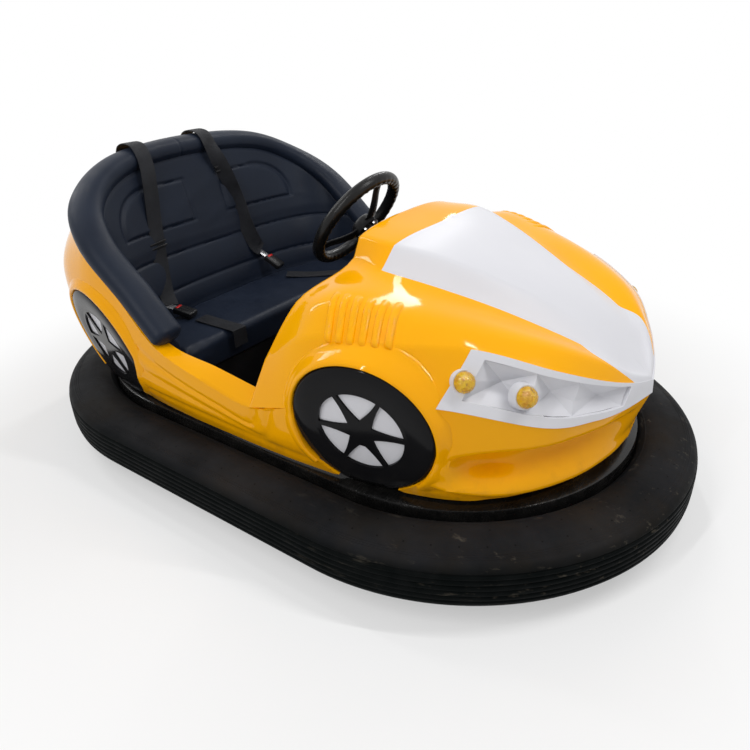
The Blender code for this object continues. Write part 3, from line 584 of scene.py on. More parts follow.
def cells_of(shape, rows, columns, sides=(0, 1)):
    """Four-sided faces of a grid's rows and columns, on the left side, 0, and the right side, 1."""
    out = []
    for side in sides:
        base = side * shape[0] * shape[1]
        for row in rows:
            for column in columns:
                here = base + row * shape[1] + column
                quad = [here, here + 1, here + shape[1] + 1, here + shape[1]]
                out.append(quad if side == 0 else quad[::-1])
    return out


# %% [markdown]
# ## The body's feature lines
# Each line runs along the left side, and the right side mirrors it. The front lines run from the nose back
# to the cockpit, and the rear lines go on from there to the middle of the tail. The lower body is one skin
# from nose to tail, the hood is a second one above it, and the cockpit's sill caps the rear.

# %% Line tables, columns x, y, z
ROLL_LINE = [(-0.200, 0.479, 0.420), (-0.310, 0.480, 0.522), (-0.450, 0.475, 0.637), (-0.555, 0.405, 0.715),
             (-0.612, 0.250, 0.778), (-0.626, 0, 0.796)]


def beside_roll(out, up):
    """The roll's line moved sideways, away from the cockpit, and squarely up from its path."""
    knots = [Vector(p) for p in ROLL_LINE]
    knots.append(Vector((ROLL_LINE[-2][0], -ROLL_LINE[-2][1], ROLL_LINE[-2][2])))
    moved = []
    for k, spot in enumerate(knots[:-1]):
        along = (knots[k + 1] - knots[max(k - 1, 0)]).normalized()
        across = Vector((0, 0, 1)).cross(along).normalized() * -1
        over = along.cross(across).normalized()
        over = over if over.z > 0 else -over
        moved.append(tuple(spot + across * out + over * up))
    return moved


FRONT = {
    "hem": [(0.790, 0, 0.200), (0.778, 0.100, 0.200), (0.740, 0.215, 0.200), (0.665, 0.330, 0.200),
            (0.555, 0.405, 0.200), (0.385, 0.452, 0.200), (0.230, 0.470, 0.200), (0.098, 0.476, 0.200)],
    "chin": [(0.815, 0, 0.250), (0.802, 0.105, 0.250), (0.762, 0.228, 0.250), (0.684, 0.348, 0.258),
             (0.565, 0.428, 0.266), (0.390, 0.478, 0.272), (0.230, 0.494, 0.270), (0.095, 0.496, 0.262)],
    "pod_lower": [(0.849, 0, 0.360), (0.823, 0.110, 0.363), (0.787, 0.200, 0.369), (0.720, 0.310, 0.388),
                  (0.550, 0.437, 0.440), (0.395, 0.488, 0.420), (0.230, 0.502, 0.370), (0.090, 0.500, 0.325)],
    "pod_upper": [(0.846, 0, 0.392), (0.826, 0.075, 0.412), (0.785, 0.165, 0.446), (0.715, 0.262, 0.492),
                  (0.575, 0.349, 0.538), (0.410, 0.445, 0.545), (0.260, 0.475, 0.535), (0.130, 0.470, 0.450)],
    "brow": [(0.843, 0, 0.398), (0.818, 0.068, 0.428), (0.768, 0.150, 0.478), (0.690, 0.228, 0.522),
             (0.555, 0.313, 0.560), (0.410, 0.385, 0.584), (0.285, 0.415, 0.600), (0.175, 0.400, 0.572)],
    "stripe_edge": [(0.838, 0, 0.403), (0.805, 0.060, 0.430), (0.762, 0.104, 0.470), (0.680, 0.140, 0.512),
                    (0.545, 0.182, 0.560), (0.420, 0.225, 0.597), (0.300, 0.255, 0.622), (0.200, 0.222, 0.625)],
    "ridge": [(0.830, 0, 0.408), (0.795, 0.022, 0.438), (0.722, 0.060, 0.502), (0.640, 0.088, 0.552),
              (0.530, 0.127, 0.600), (0.410, 0.167, 0.642), (0.300, 0.203, 0.665), (0.200, 0.196, 0.668)],
    "centre": [(0.824, 0, 0.411), (0.790, 0, 0.442), (0.718, 0, 0.506), (0.640, 0, 0.556),
               (0.530, 0, 0.605), (0.410, 0, 0.648), (0.300, 0, 0.671), (0.200, 0, 0.686)],
}
REAR = {
    "hem": [(-0.050, 0.477, 0.200), (-0.180, 0.476, 0.200), (-0.340, 0.466, 0.200),
            (-0.500, 0.430, 0.200), (-0.640, 0.335, 0.200), (-0.730, 0.190, 0.200), (-0.760, 0, 0.200)],
    "chin": [(-0.050, 0.498, 0.262), (-0.180, 0.500, 0.262), (-0.340, 0.501, 0.270),
             (-0.520, 0.482, 0.285), (-0.690, 0.390, 0.300), (-0.785, 0.225, 0.310), (-0.815, 0, 0.310)],
    "waist": [(-0.050, 0.502, 0.310), (-0.180, 0.505, 0.335), (-0.340, 0.509, 0.420),
              (-0.530, 0.500, 0.470), (-0.710, 0.425, 0.510), (-0.812, 0.250, 0.530), (-0.848, 0, 0.530)],
    "sill": [(-0.050, 0.502, 0.346), *beside_roll(0.030, -0.028)],
    "rail": [(0.088, 0.458, 0.352), (-0.050, 0.460, 0.372), *beside_roll(-0.012, -0.028)],
}
STEPS = 16  # columns between two stations of a line
FRONT_STATIONS = len(FRONT["hem"]) - 1
POD_STATION, STRIPE_STATION, TAIL_STATION = 4, 6, 12
front_columns = FRONT_STATIONS * STEPS

# %% Lower body skin
HEM_ROWS, CHIN_ROWS, WAIST_ROWS = 12, 12, 12
chin_to_pod = [tuple((a + b) / 2 for a, b in zip(low, high))
               for low, high in zip(FRONT["chin"], FRONT["pod_lower"])]
lower_lines = [FRONT["hem"] + REAR["hem"], FRONT["chin"] + REAR["chin"], chin_to_pod + REAR["waist"],
               FRONT["pod_lower"] + REAR["sill"]]
lower_curves = np.array([curve_through(line, STEPS) for line in lower_lines])
lower_rows = np.concatenate([np.linspace(0, 1, HEM_ROWS, endpoint=False),
                             np.linspace(1, 2, CHIN_ROWS, endpoint=False), np.linspace(2, 3, WAIST_ROWS + 1)])
columns = lower_curves.shape[1]
lower = across_lines(lower_curves, [1, 0.75, 1, 1], np.repeat(lower_rows[:, None], columns, axis=1))
print("lower skin:", lower.shape)

# %% [markdown]
# ### Hood, fenders and the white stripe
# The yellow tongue between the headlight pods and the white stripe narrows to a point at the nose. The rows
# of the hood's grid are squeezed there, so that the colour's edge runs along a row of the mesh.

# %% Hood skin
POD_ROWS, FENDER_ROWS, STRIPE_ROWS, RIDGE_ROWS = 16, 14, 8, 12
upper_curves = np.array([curve_through(FRONT[name], STEPS)
                         for name in ("pod_lower", "pod_upper", "brow", "stripe_edge", "ridge", "centre")])
station = np.arange(front_columns + 1) / STEPS
tip = np.clip((station - 1.0) / 1.6, 0, 1) ** 0.75
tongue_top = 1 + 2 * tip
rows = [np.linspace(0, 1, POD_ROWS, endpoint=False)[:, None] * np.ones_like(station)]
rows.append(1 + np.linspace(0, 1, FENDER_ROWS, endpoint=False)[:, None] * (tongue_top - 1))
rows.append(tongue_top + np.linspace(0, 1, STRIPE_ROWS, endpoint=False)[:, None] * (4 - tongue_top))
rows.append(4 + np.linspace(0, 1, RIDGE_ROWS + 1)[:, None] * np.ones_like(station))
mirror_line = upper_curves[-2] * (1, -1, 1)
upper = across_lines(np.concatenate([upper_curves, mirror_line[None]]), [1, 0.25, 0.9, 0.5, 0.3, 1, 1],
                     np.concatenate(rows))
upper[-1, :, 1] = 0
fender_row = POD_ROWS
stripe_row = fender_row + FENDER_ROWS
print("hood skin:", upper.shape)


# %% [markdown]
# ### Sunken and raised features
# The mouth in the lower bumper, the door outline and the flank's step are moulded in. They are drawn on the
# same skin by moving its points along its normals: inwards for a scoop, and in a narrow band for a crease.

# %% Moulded relief
def smooth(value, low, high):
    t = np.clip((value - low) / (high - low), 0, 1)
    return t * t * (3 - 2 * t)


def distance_to_path(x, z, path):
    """Distance in side view from each point to a path of (x, z) points."""
    best = np.full(x.shape, 9.0)
    for (ax, az), (bx, bz) in zip(path, path[1:]):
        dx, dz = bx - ax, bz - az
        t = np.clip(((x - ax) * dx + (z - az) * dz) / (dx * dx + dz * dz), 0, 1)
        best = np.minimum(best, np.hypot(x - ax - t * dx, z - az - t * dz))
    return best


def mouth(column_station, z):
    """Depth of the scoop under the headlights: sharp under its upper lip and shallow at its lower one."""
    top = 0.342 - 0.016 * smooth(column_station, 3.3, 4.1)
    bottom = 0.236 + 0.014 * smooth(column_station, 3.2, 4.1)
    share = np.clip((top - z) / (top - bottom), -0.5, 1.5)
    profile = smooth(share, 0.0, 0.24) * (1 - smooth(share, 0.30, 1.0))
    reach = smooth(column_station, 0.15, 1.6) * (1 - smooth(column_station, 3.60, 4.00))
    pocket = np.exp(-((column_station - 3.30) / 0.42) ** 2) * np.exp(-((share - 0.60) / 0.24) ** 2)
    lip = np.exp(-((share - 1.00) / 0.12) ** 2) * (1 - smooth(column_station, 3.9, 4.3))
    undercut = np.exp(-((share - 1.27) / 0.09) ** 2) * (1 - smooth(column_station, 3.9, 4.3))
    return 0.040 * profile * reach + 0.030 * pocket * reach - 0.011 * lip + 0.007 * undercut


CREASES = [  # path in side view as x, z, steps for each stretch, depth, width
    ([(-0.345, 0.405), (-0.260, 0.355), (-0.150, 0.318), (-0.020, 0.290), (0.065, 0.272), (0.092, 0.290),
      (0.106, 0.345)], 8, 0.0040, 0.006),
    ([(-0.345, 0.335), (-0.270, 0.308), (-0.150, 0.285), (-0.010, 0.262), (0.100, 0.245), (0.128, 0.262),
      (0.150, 0.330), (0.178, 0.392)], 8, 0.0040, 0.008),
    ([(-0.330, 0.252), (-0.150, 0.243), (0.060, 0.232), (0.240, 0.226)], 6, 0.0035, 0.009),
]
lower_normals = grid_normals(lower)
lower_station = np.repeat(np.arange(columns)[None] / STEPS, len(lower), axis=0)
x, z = lower[..., 0], lower[..., 2]
relief = -mouth(lower_station, z)
for path, steps, depth, width in CREASES:
    away = distance_to_path(x, z, curve_through(path, steps).tolist())
    relief -= depth * np.exp(-(away / width) ** 2)
relief[-1] = 0
lower = lower + lower_normals * relief[..., None]
print("deepest relief, mm:", round(float(-relief.min()) * 1000, 1))

# %% Sill, and the edge that turns in round the cockpit
sill_curve = lower_curves[-1][front_columns:]
rail_curve = curve_through(REAR["rail"], STEPS)
inward = np.array([0, -1, 0])
sill_share = np.linspace(0, 1, 7)[:, None, None]
sill_top = sill_curve * (1 - sill_share) + rail_curve * sill_share
sill_top[..., 2] += 0.004 * np.sin(math.pi * sill_share[..., 0])
drop = np.array([[0.0015, -0.004], [0.002, -0.015], [0.002, -0.034]])
rail_drop = np.array([rail_curve + inward * out + np.array([0, 0, down]) for out, down in drop])
sill_grid = np.concatenate([sill_top, rail_drop])

cowl_edge = upper[:, -1]
cowl_inward = -grid_normals(upper)[:, -1]
cowl_back = np.gradient(upper, axis=1)[:, -1]
cowl_back /= np.linalg.norm(cowl_back, axis=1, keepdims=True)
turn_in = [(0.000, 0.000), (0.004, 0.0015), (0.006, 0.006), (0.006, 0.024)]
cowl_grid = np.array([cowl_edge + cowl_back * back + cowl_inward * down for back, down in turn_in])
cowl_grid = cowl_grid.transpose(1, 0, 2)

# %% [markdown]
# The skins are welded into one, so that neighbouring panels share their edges exactly. Faces are then dealt
# out by colour, and each panel becomes a closed shell with real thickness. The wheel arches are opened in
# the skin before that, by dropping cells and drawing the edge that is left on to a circle.

# %% Weld the skins
SKIN = 0.006
grids = [lower, upper, sill_grid, cowl_grid]
all_points, all_normals, starts = [], [], []
for grid in grids:
    starts.append(sum(len(part) for part in all_points))
    spots, directions = two_sides(grid, grid_normals(grid))
    all_points.append(spots)
    all_normals.append(directions)
all_points = np.concatenate(all_points)
all_normals = np.concatenate(all_normals)
keys = np.round(all_points * 1e5).astype(np.int64)
_, first, welded = np.unique(keys, axis=0, return_index=True, return_inverse=True)
welded = welded.ravel()
skin_points = all_points[first]
skin_normals = np.zeros_like(skin_points)
np.add.at(skin_normals, welded, all_normals)
skin_normals /= np.maximum(np.linalg.norm(skin_normals, axis=1, keepdims=True), 1e-9)


def skin_cells(which, row_range, column_range, sides=(0, 1)):
    out = []
    for quad in cells_of(grids[which].shape, row_range, column_range, sides):
        quad = [int(welded[starts[which] + v]) for v in quad]
        clean = [v for k, v in enumerate(quad) if v != quad[k - 1]]
        if len(set(clean)) > 2:
            out.append(clean)
    return out


tail_rows = range(HEM_ROWS + CHIN_ROWS - 4, HEM_ROWS + CHIN_ROWS + 4)
all_lower = range(len(lower) - 1)
pod_columns = range(POD_STATION * STEPS)
nose_columns = range(0, STEPS)
yellow_cells = skin_cells(0, all_lower, range(TAIL_STATION * STEPS))
yellow_cells += skin_cells(0, [row for row in all_lower if row not in tail_rows],
                           range(TAIL_STATION * STEPS, columns - 1))
yellow_cells += skin_cells(1, range(fender_row), range(POD_STATION * STEPS, front_columns))
yellow_cells += skin_cells(1, range(fender_row, stripe_row), range(STEPS, front_columns))
yellow_cells += skin_cells(1, range(stripe_row, len(upper) - 1), range(STRIPE_STATION * STEPS, front_columns))
yellow_cells += skin_cells(2, range(len(sill_grid) - 1), range(sill_grid.shape[1] - 1))
yellow_cells += skin_cells(3, range(len(cowl_grid) - 1), range(cowl_grid.shape[1] - 1))

DISCS = {  # dummy wheels: middle of the outer face on the left, then turn and downward lean in degrees
    "front": ((0.392, 0.474, 0.350), 10, 10),
    "rear": ((-0.490, 0.480, 0.334), -10, 12),
}
ARCH_RADIUS = 0.1655


def disc_frame(name, side):
    """The middle of a dummy wheel's outer face, and the way that it faces."""
    (x, y, z), turn, lean = DISCS[name]
    turn, lean = math.radians(turn), math.radians(lean)
    facing = Vector((math.sin(turn) * math.cos(lean), math.cos(turn) * math.cos(lean) * side,
                     -math.sin(lean)))
    return Vector((x, y * side, z)), facing


def open_arches(cells):
    """Drops the cells inside each arch, and draws the edge that is left on to the arch's circle."""
    for name in DISCS:
        for side in (1, -1):
            centre, facing = (np.array(value) for value in disc_frame(name, side))
            away = skin_points - centre
            depth = away @ facing
            radial = away - depth[:, None] * facing
            reach = np.linalg.norm(radial, axis=1)
            inside = (reach < ARCH_RADIUS) & (np.abs(depth) < 0.12)
            dropped = [quad for quad in cells if sum(inside[v] for v in quad) * 2 >= len(quad)]
            kept = [quad for quad in cells if sum(inside[v] for v in quad) * 2 < len(quad)]
            edge = list(set(v for quad in dropped for v in quad) & set(v for quad in kept for v in quad))
            stretch = (ARCH_RADIUS / reach[edge])[:, None]
            skin_points[edge] = centre + depth[edge][:, None] * facing + radial[edge] * stretch
            cells = kept
    return cells


whole_skin = BVHTree.FromPolygons(skin_points.tolist(), yellow_cells)
body_points, body_faces = shell(skin_points, skin_normals, open_arches(yellow_cells), SKIN)
body = make_piece("body_shell", body_points, body_faces, yellow, "yellow_gelcoat",
                  stands_for=("front_body", "rear_body"), sharp=50)
print("body shell faces:", len(body.data.polygons))

stripe_cells = skin_cells(1, range(stripe_row, len(upper) - 1), range(STRIPE_STATION * STEPS))
stripe_cells += skin_cells(1, range(fender_row, stripe_row), nose_columns)
stripe_points, stripe_faces = shell(skin_points, skin_normals, stripe_cells, SKIN)
make_piece("hood_stripe", stripe_points, stripe_faces, white, "white_gelcoat",
           stands_for=("hood_stripe_panel",), sharp=50)
tail_cells = skin_cells(0, tail_rows, range(TAIL_STATION * STEPS, columns - 1))
tail_points, tail_faces = shell(skin_points, skin_normals, tail_cells, SKIN)
make_piece("tail_stripe", tail_points, tail_faces, white, "white_gelcoat",
           stands_for=("tail_panel",), sharp=50)

# %% [markdown]
# ### Headlight pods
# Each pod is a white frame round a faceted recess. Three ridges come forward to the frame's face, and
# between them the reflector falls back into deep bays. The lamps stand in front. The facets are flat, so
# this part is a few large faces, worked out from the same skin.

# %% Headlight pods
FRAME_LOW, FRAME_HIGH = 3, POD_ROWS - 2
FRAME_NOSE, FRAME_END = int(1.15 * STEPS), POD_STATION * STEPS - 3
BAYS = [  # station, depth at the top, middle and bottom, and how high the middle is
    (1.15, 0.004, 0.006, 0.004, 0.50), (1.80, 0.006, 0.028, 0.008, 0.56), (2.52, 0.002, 0.010, 0.006, 0.42),
    (2.86, 0.006, 0.036, 0.010, 0.62), (3.21, 0.002, -0.002, 0.006, 0.48), (3.50, 0.006, 0.040, 0.010, 0.62),
    (3.81, 0.002, -0.002, 0.006, 0.48)]
upper_normals = grid_normals(upper)


def on_skin(grid, row, column):
    """A point of a grid between its rows and columns."""
    r0, c0 = min(int(row), grid.shape[0] - 2), min(int(column), grid.shape[1] - 2)
    r, c = row - r0, column - c0
    return ((1 - r) * ((1 - c) * grid[r0, c0] + c * grid[r0, c0 + 1])
            + r * ((1 - c) * grid[r0 + 1, c0] + c * grid[r0 + 1, c0 + 1]))


for side, word in enumerate(("left", "right")):
    inner = skin_cells(1, range(FRAME_LOW, FRAME_HIGH), range(FRAME_NOSE, FRAME_END), (side,))
    frame_cells = [quad for quad in skin_cells(1, range(POD_ROWS), pod_columns, (side,)) if quad not in inner]
    frame_points, frame_faces = shell(skin_points + skin_normals * 0.0025, skin_normals, frame_cells, 0.010)
    pod = make_piece(f"pod_frame_{word}", frame_points, frame_faces, white, "white_gelcoat",
                     stands_for=(f"headlight_pod_{word}",), sharp=50)
    bevel = pod.modifiers.new("soft_edge", "BEVEL")
    bevel.width = 0.002
    bevel.segments = 3
    bevel.limit_method = "ANGLE"
    bevel.angle_limit = math.radians(50)
    flip = np.array([1, 1 - 2 * side, 1])
    reflector = []
    for column, top, middle, bottom, height in BAYS:
        for share, depth in ((1.0, top), (height, middle), (0.0, bottom)):
            row = FRAME_LOW + (FRAME_HIGH - FRAME_LOW) * share
            spot = on_skin(upper, row, column * STEPS) - on_skin(upper_normals, row, column * STEPS) * depth
            reflector.append(spot * flip)
    front_count = len(reflector)
    backs = [spot - on_skin(upper_normals, 8, 3 * STEPS) * flip * 0.004 for spot in reflector]
    faces = []
    for k in range(len(BAYS) - 1):
        for level in (0, 1):
            here = 3 * k + level
            quad = (here, here + 3, here + 4, here + 1)
            valley_next = BAYS[k + 1][2] > BAYS[k][2]
            if valley_next == (level == 0):
                faces += [(quad[0], quad[1], quad[2]), (quad[0], quad[2], quad[3])]
            else:
                faces += [(quad[1], quad[2], quad[3]), (quad[1], quad[3], quad[0])]
    border = [*range(0, front_count, 3), front_count - 2, *range(front_count - 1, 0, -3), 1]
    faces += [tuple(v + front_count for v in face[::-1]) for face in faces]
    faces += [(a, b, b + front_count, a + front_count) for a, b in zip(border, border[1:] + border[:1])]
    make_piece(f"reflector_{word}", np.array(reflector + backs), faces, white, "white_gelcoat", sharp=8)
print("pods: 2 frames and 2 reflectors with", len(BAYS), "stations")

# %% [markdown]
# ### Bumper ring and rim
# One profile is carried round a stadium: two half circles joined by straight sides. The ring's outer wall
# has tread grooves, and its crown is smooth. Two attributes, how far round and how far in, go to its
# finish.

# %% Ring
ring_low, ring_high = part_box("bumper_tyre")
RING_RADIUS = (ring_high.y - ring_low.y) / 2
RING_STRAIGHT = (ring_high.x - ring_low.x) / 2 - RING_RADIUS
RING_STEPS = 44


def stadium(inset):
    radius = RING_RADIUS - inset
    angles = np.linspace(-math.pi / 2, math.pi / 2, 2 * RING_STEPS + 1)
    out = []
    for end in (1, -1):
        bow = np.stack([end * (RING_STRAIGHT + radius * np.cos(angles)), end * radius * np.sin(angles)], axis=1)
        straight = np.linspace(bow[-1], [-bow[-1][0], bow[-1][1]], 14)[1:-1]
        out += [bow, straight]
    return np.concatenate(out)


def carry_round(profile):
    """Points, faces and marks of a closed (inset, z) profile carried round the stadium."""
    loops = [stadium(inset) for inset, _ in profile]
    count = len(loops[0])
    middle = stadium(0.06)
    steps = np.linalg.norm(np.diff(middle, axis=0, append=middle[:1]), axis=1)
    around = np.concatenate([[0], np.cumsum(steps)[:-1]])
    points = np.concatenate([np.column_stack([loop, np.full(count, z)]) for loop, (_, z) in zip(loops, profile)])
    faces = []
    for k in range(len(profile)):
        here, there = k * count, (k + 1) % len(profile) * count
        faces += [[here + s, here + (s + 1) % count, there + (s + 1) % count, there + s] for s in range(count)]
    marks = {"around": np.tile(around, len(profile)),
             "inset": np.repeat([inset for inset, _ in profile], count)}
    return points, faces, marks


WALL = [(0.0035, 0.070), (0.001, 0.082), (0.000, 0.098), (0.000, 0.120), (0.0005, 0.140), (0.003, 0.153),
        (0.009, 0.163), (0.018, 0.169), (0.034, 0.175), (0.055, 0.182), (0.075, 0.187), (0.095, 0.188),
        (0.112, 0.184), (0.130, 0.174), (0.142, 0.160), (0.1452, 0.145)]
GROOVES = (0.080, 0.094, 0.108, 0.122, 0.136, 0.149)
wall = curve_through([(inset, 0, z) for inset, z in WALL], 14)[:, [0, 2]]
for groove in GROOVES:
    wall[:, 0] += 0.0042 * np.exp(-((wall[:, 1] - groove) / 0.0024) ** 2) * (wall[:, 0] < 0.012)
on_crown = wall[:, 0] > 0.012
for ridge in (0.022, 0.027, 0.032, 0.1275):
    wall[:, 1] += 0.0009 * np.exp(-((wall[:, 0] - ridge) / 0.0012) ** 2) * on_crown
wall[:, 0] = np.maximum(wall[:, 0], 0.0)
wall[:, 1] = np.minimum(wall[:, 1], ring_high.z)
lower_wall = [(0.1452, 0.084), (0.138, 0.068), (0.125, 0.058), (0.100, 0.0535), (0.075, ring_low.z),
              (0.045, 0.0525), (0.022, 0.055), (0.010, 0.061)]
ring_points, ring_faces, ring_marks = carry_round([*map(tuple, wall), *lower_wall])
make_piece("bumper_ring", ring_points, ring_faces, ring_rubber, "bumper_rubber", stands_for=("bumper_tyre",),
           sharp=60, **ring_marks)
RIM = [(0.1456, 0.086), (0.1456, 0.184), (0.1475, 0.189), (0.152, 0.191), (0.170, 0.193), (0.196, 0.1955),
       (0.198, 0.194), (0.1975, 0.192), (0.170, 0.1895), (0.1535, 0.187), (0.150, 0.182), (0.150, 0.086)]
rim_points, rim_faces, _ = carry_round(RIM)
make_piece("ring_rim", rim_points, rim_faces, black_steel, "black_steel",
           stands_for=("bumper_rim",), sharp=40)
print("ring faces:", len(ring_faces))

# %% [markdown]
# ### Dummy wheels
# The wheels that show are mouldings: a glossy black disc with a six-armed star, and white windows sunk
# between the arms. The star's edges are concave, so its outline comes from a short formula.

# %% Dummy wheels
DISC_RADIUS, WINDOW_RADIUS, HUB_RADIUS, ARM_HALF = 0.1645, 0.0995, 0.030, 0.0052
ARMS, ARM_STEPS, SUNK = 6, 9, 0.005
DISC_STEPS, DISH_STEPS = 96, 64
STAR_RADIUS, STAR_BACK, STAR_FRONT = 0.1085, -0.007, 0.0008
DISC_PROFILE = [(DISC_RADIUS, -0.012), (DISC_RADIUS, -0.006), (DISC_RADIUS - 0.002, -0.002),
                (DISC_RADIUS - 0.006, 0.0), (DISC_RADIUS - 0.022, 0.0015), (0.128, 0.002), (0.108, 0.0008),
                (0.108, -0.012)]
DISH_PROFILE = [(0.0, -SUNK + 0.002), (0.04, -SUNK + 0.0015), (0.08, -SUNK), (0.101, -SUNK - 0.001),
                (0.103, -0.010), (0.0, -0.010)]
TRIM_LEVEL = 0.2006


def star_window(arm):
    """Outline of the window after an arm: along its edge, round the outside and back along the next arm."""
    turn = 2 * math.pi / ARMS
    start = arm * turn
    edge = []
    for k in range(ARM_STEPS + 1):
        share = k / ARM_STEPS
        r = HUB_RADIUS + (WINDOW_RADIUS - HUB_RADIUS) * share
        half = ARM_HALF + (HUB_RADIUS * math.tan(turn / 2) * 0.92 - ARM_HALF) * (1 - share) ** 2.2
        edge.append(Vector((math.sqrt(max(r * r - half * half, 0)), half)))
    out = [Matrix.Rotation(start, 2) @ spot for spot in edge]
    low = math.atan2(edge[-1].y, edge[-1].x)
    for k in range(1, 12):
        angle = start + low + (turn - 2 * low) * k / 12
        out.append(Vector((WINDOW_RADIUS * math.cos(angle), WINDOW_RADIUS * math.sin(angle))))
    out += [Matrix.Rotation(start + turn, 2) @ Vector((spot.x, -spot.y)) for spot in edge[::-1]]
    return out


def make_disc(name, side, word):
    centre, facing = disc_frame(name, side)
    node = f"wheel_disc_{name}_{word}"
    where = Matrix.Translation(centre) @ facing.to_track_quat("Z", "Y").to_matrix().to_4x4()
    points = [spot for radius, z in DISC_PROFILE for spot in circle(radius, z, DISC_STEPS)]
    faces = tube_faces(len(DISC_PROFILE), DISC_STEPS, ends=False)
    last = len(points) - DISC_STEPS
    faces += [[last + s, last + (s + 1) % DISC_STEPS, (s + 1) % DISC_STEPS, s] for s in range(DISC_STEPS)]
    star_points, star_faces = star_plate()
    faces += [[v + len(points) for v in face] for face in star_faces]
    disc = make_piece(f"dummy_wheel_{name}_{word}", placed_at(where, points + star_points), faces, black,
                      "black_gelcoat", stands_for=(node,))
    trim_bottom(disc)
    dish = [spot for radius, z in DISH_PROFILE for spot in circle(radius, z, DISH_STEPS)]
    make_piece(f"wheel_windows_{name}_{word}", placed_at(where, dish),
               tube_faces(len(DISH_PROFILE), DISH_STEPS, ends=False), white, "white_gelcoat")


def star_plate():
    """The black star: one plate with six windows, closed front, back and round each window."""
    work = bmesh.new()
    outer = [work.verts.new(spot) for spot in circle(STAR_RADIUS, 0, DISC_STEPS)]
    edges = [work.edges.new((outer[k], outer[(k + 1) % DISC_STEPS])) for k in range(DISC_STEPS)]
    for arm in range(ARMS):
        window = [work.verts.new((spot.x, spot.y, 0)) for spot in star_window(arm)]
        edges += [work.edges.new((window[k - 1], window[k])) for k in range(len(window))]
    bmesh.ops.triangle_fill(work, edges=edges, use_beauty=True)
    bmesh.ops.recalc_face_normals(work, faces=work.faces)
    if sum(face.normal.z for face in work.faces) < 0:
        bmesh.ops.reverse_faces(work, faces=work.faces)
    extruded = bmesh.ops.extrude_face_region(work, geom=work.faces[:])
    front = [v for v in extruded["geom"] if isinstance(v, bmesh.types.BMVert)]
    bmesh.ops.translate(work, verts=front, vec=(0, 0, STAR_FRONT))
    for v in work.verts:
        if v.co.z < STAR_FRONT / 2:
            v.co.z = STAR_BACK
    bmesh.ops.recalc_face_normals(work, faces=work.faces)
    work.verts.index_update()
    points = [tuple(v.co) for v in work.verts]
    faces = [[v.index for v in face.verts] for face in work.faces]
    work.free()
    return points, faces


def trim_bottom(piece):
    """Cuts a disc off level with the body's lower edge, as the moulding is."""
    select_only(piece)
    bpy.ops.object.mode_set(mode="EDIT")
    bpy.ops.mesh.select_all(action="SELECT")
    bpy.ops.mesh.bisect(plane_co=(0, 0, TRIM_LEVEL), plane_no=(0, 0, -1), clear_outer=True, use_fill=True)
    bpy.ops.object.mode_set(mode="OBJECT")


for name in DISCS:
    for side, word in ((1, "left"), (-1, "right")):
        make_disc(name, side, word)
print("dummy wheels: 4")


# %% [markdown]
# ### Louvres and arch lips
# A louvre is a relief patch: a small grid is dropped on to the skin along one direction, lifted by a height
# for each point, and given a little thickness below, so that its edges sink in. An arch lip is one section
# carried round the arch, and how far out it stands is looked up on the skin at two radii.

# %% Relief patches and lips
def relief_patch(name, starts_at, direction, heights, sharp=60):
    """A raised patch of the body, from grid points outside it that look along a direction."""
    rows, columns_ = heights.shape
    spots = np.zeros((rows, columns_, 3))
    normals = np.zeros((rows, columns_, 3))
    found = np.zeros((rows, columns_), bool)
    for r in range(rows):
        for c in range(columns_):
            hit, normal, _, _ = whole_skin.ray_cast(Vector(starts_at[r, c]), direction, 0.4)
            if hit is None:
                continue
            spots[r, c] = hit
            normals[r, c] = normal if normal.dot(direction) < 0 else -normal
            found[r, c] = True
    raised = spots + normals * heights[..., None]
    quads = []
    for r in range(rows - 1):
        for c in range(columns_ - 1):
            if found[r:r + 2, c:c + 2].all():
                here = r * columns_ + c
                quads.append([here, here + 1, here + columns_ + 1, here + columns_])
    points, faces = shell(raised.reshape(-1, 3), normals.reshape(-1, 3), quads, 0.004)
    return make_piece(name, points, faces, yellow, "yellow_gelcoat", sharp=sharp)


LOUVRES, LOUVRE_PITCH, LOUVRE_WIDTH, LOUVRE_FOOT = 6, 0.0245, 0.0185, 0.536
LOUVRE_RUN = np.array([-0.040, -0.092, 0.085])  # from a louvre's foot to its top, on the left side
for side, word in ((1, "left"), (-1, "right")):
    look = Vector((0, -side, -1)).normalized()
    run = LOUVRE_RUN * (1, side, 1)
    for k in range(LOUVRES):
        foot_spot, _, _, _ = whole_skin.ray_cast(Vector((0.318 + k * LOUVRE_PITCH, side * 0.62, LOUVRE_FOOT)),
                                                 Vector((0, -side, 0)), 0.4)
        u, v = np.meshgrid(np.linspace(-1, 1, 13), np.linspace(0, 1, 41))
        round_off = np.sqrt(np.clip(1 - u * u, 0, 1))
        ends = np.sqrt(np.clip(1 - np.clip(1 - v / 0.10, 0, 1) ** 2, 0, 1)) * (1 - smooth(v, 0.72, 1.0))
        height = 0.0085 * round_off * ends * (1 - 0.45 * v) - 0.0012
        starts_at = np.array(foot_spot) - np.array(look) * 0.12 + v[..., None] * run
        starts_at[..., 0] += u * LOUVRE_WIDTH / 2 * (1 - 0.25 * np.clip(1 - v / 0.10, 0, 1) ** 2)
        relief_patch(f"louvre_{word}_{k + 1}", starts_at, look, height)

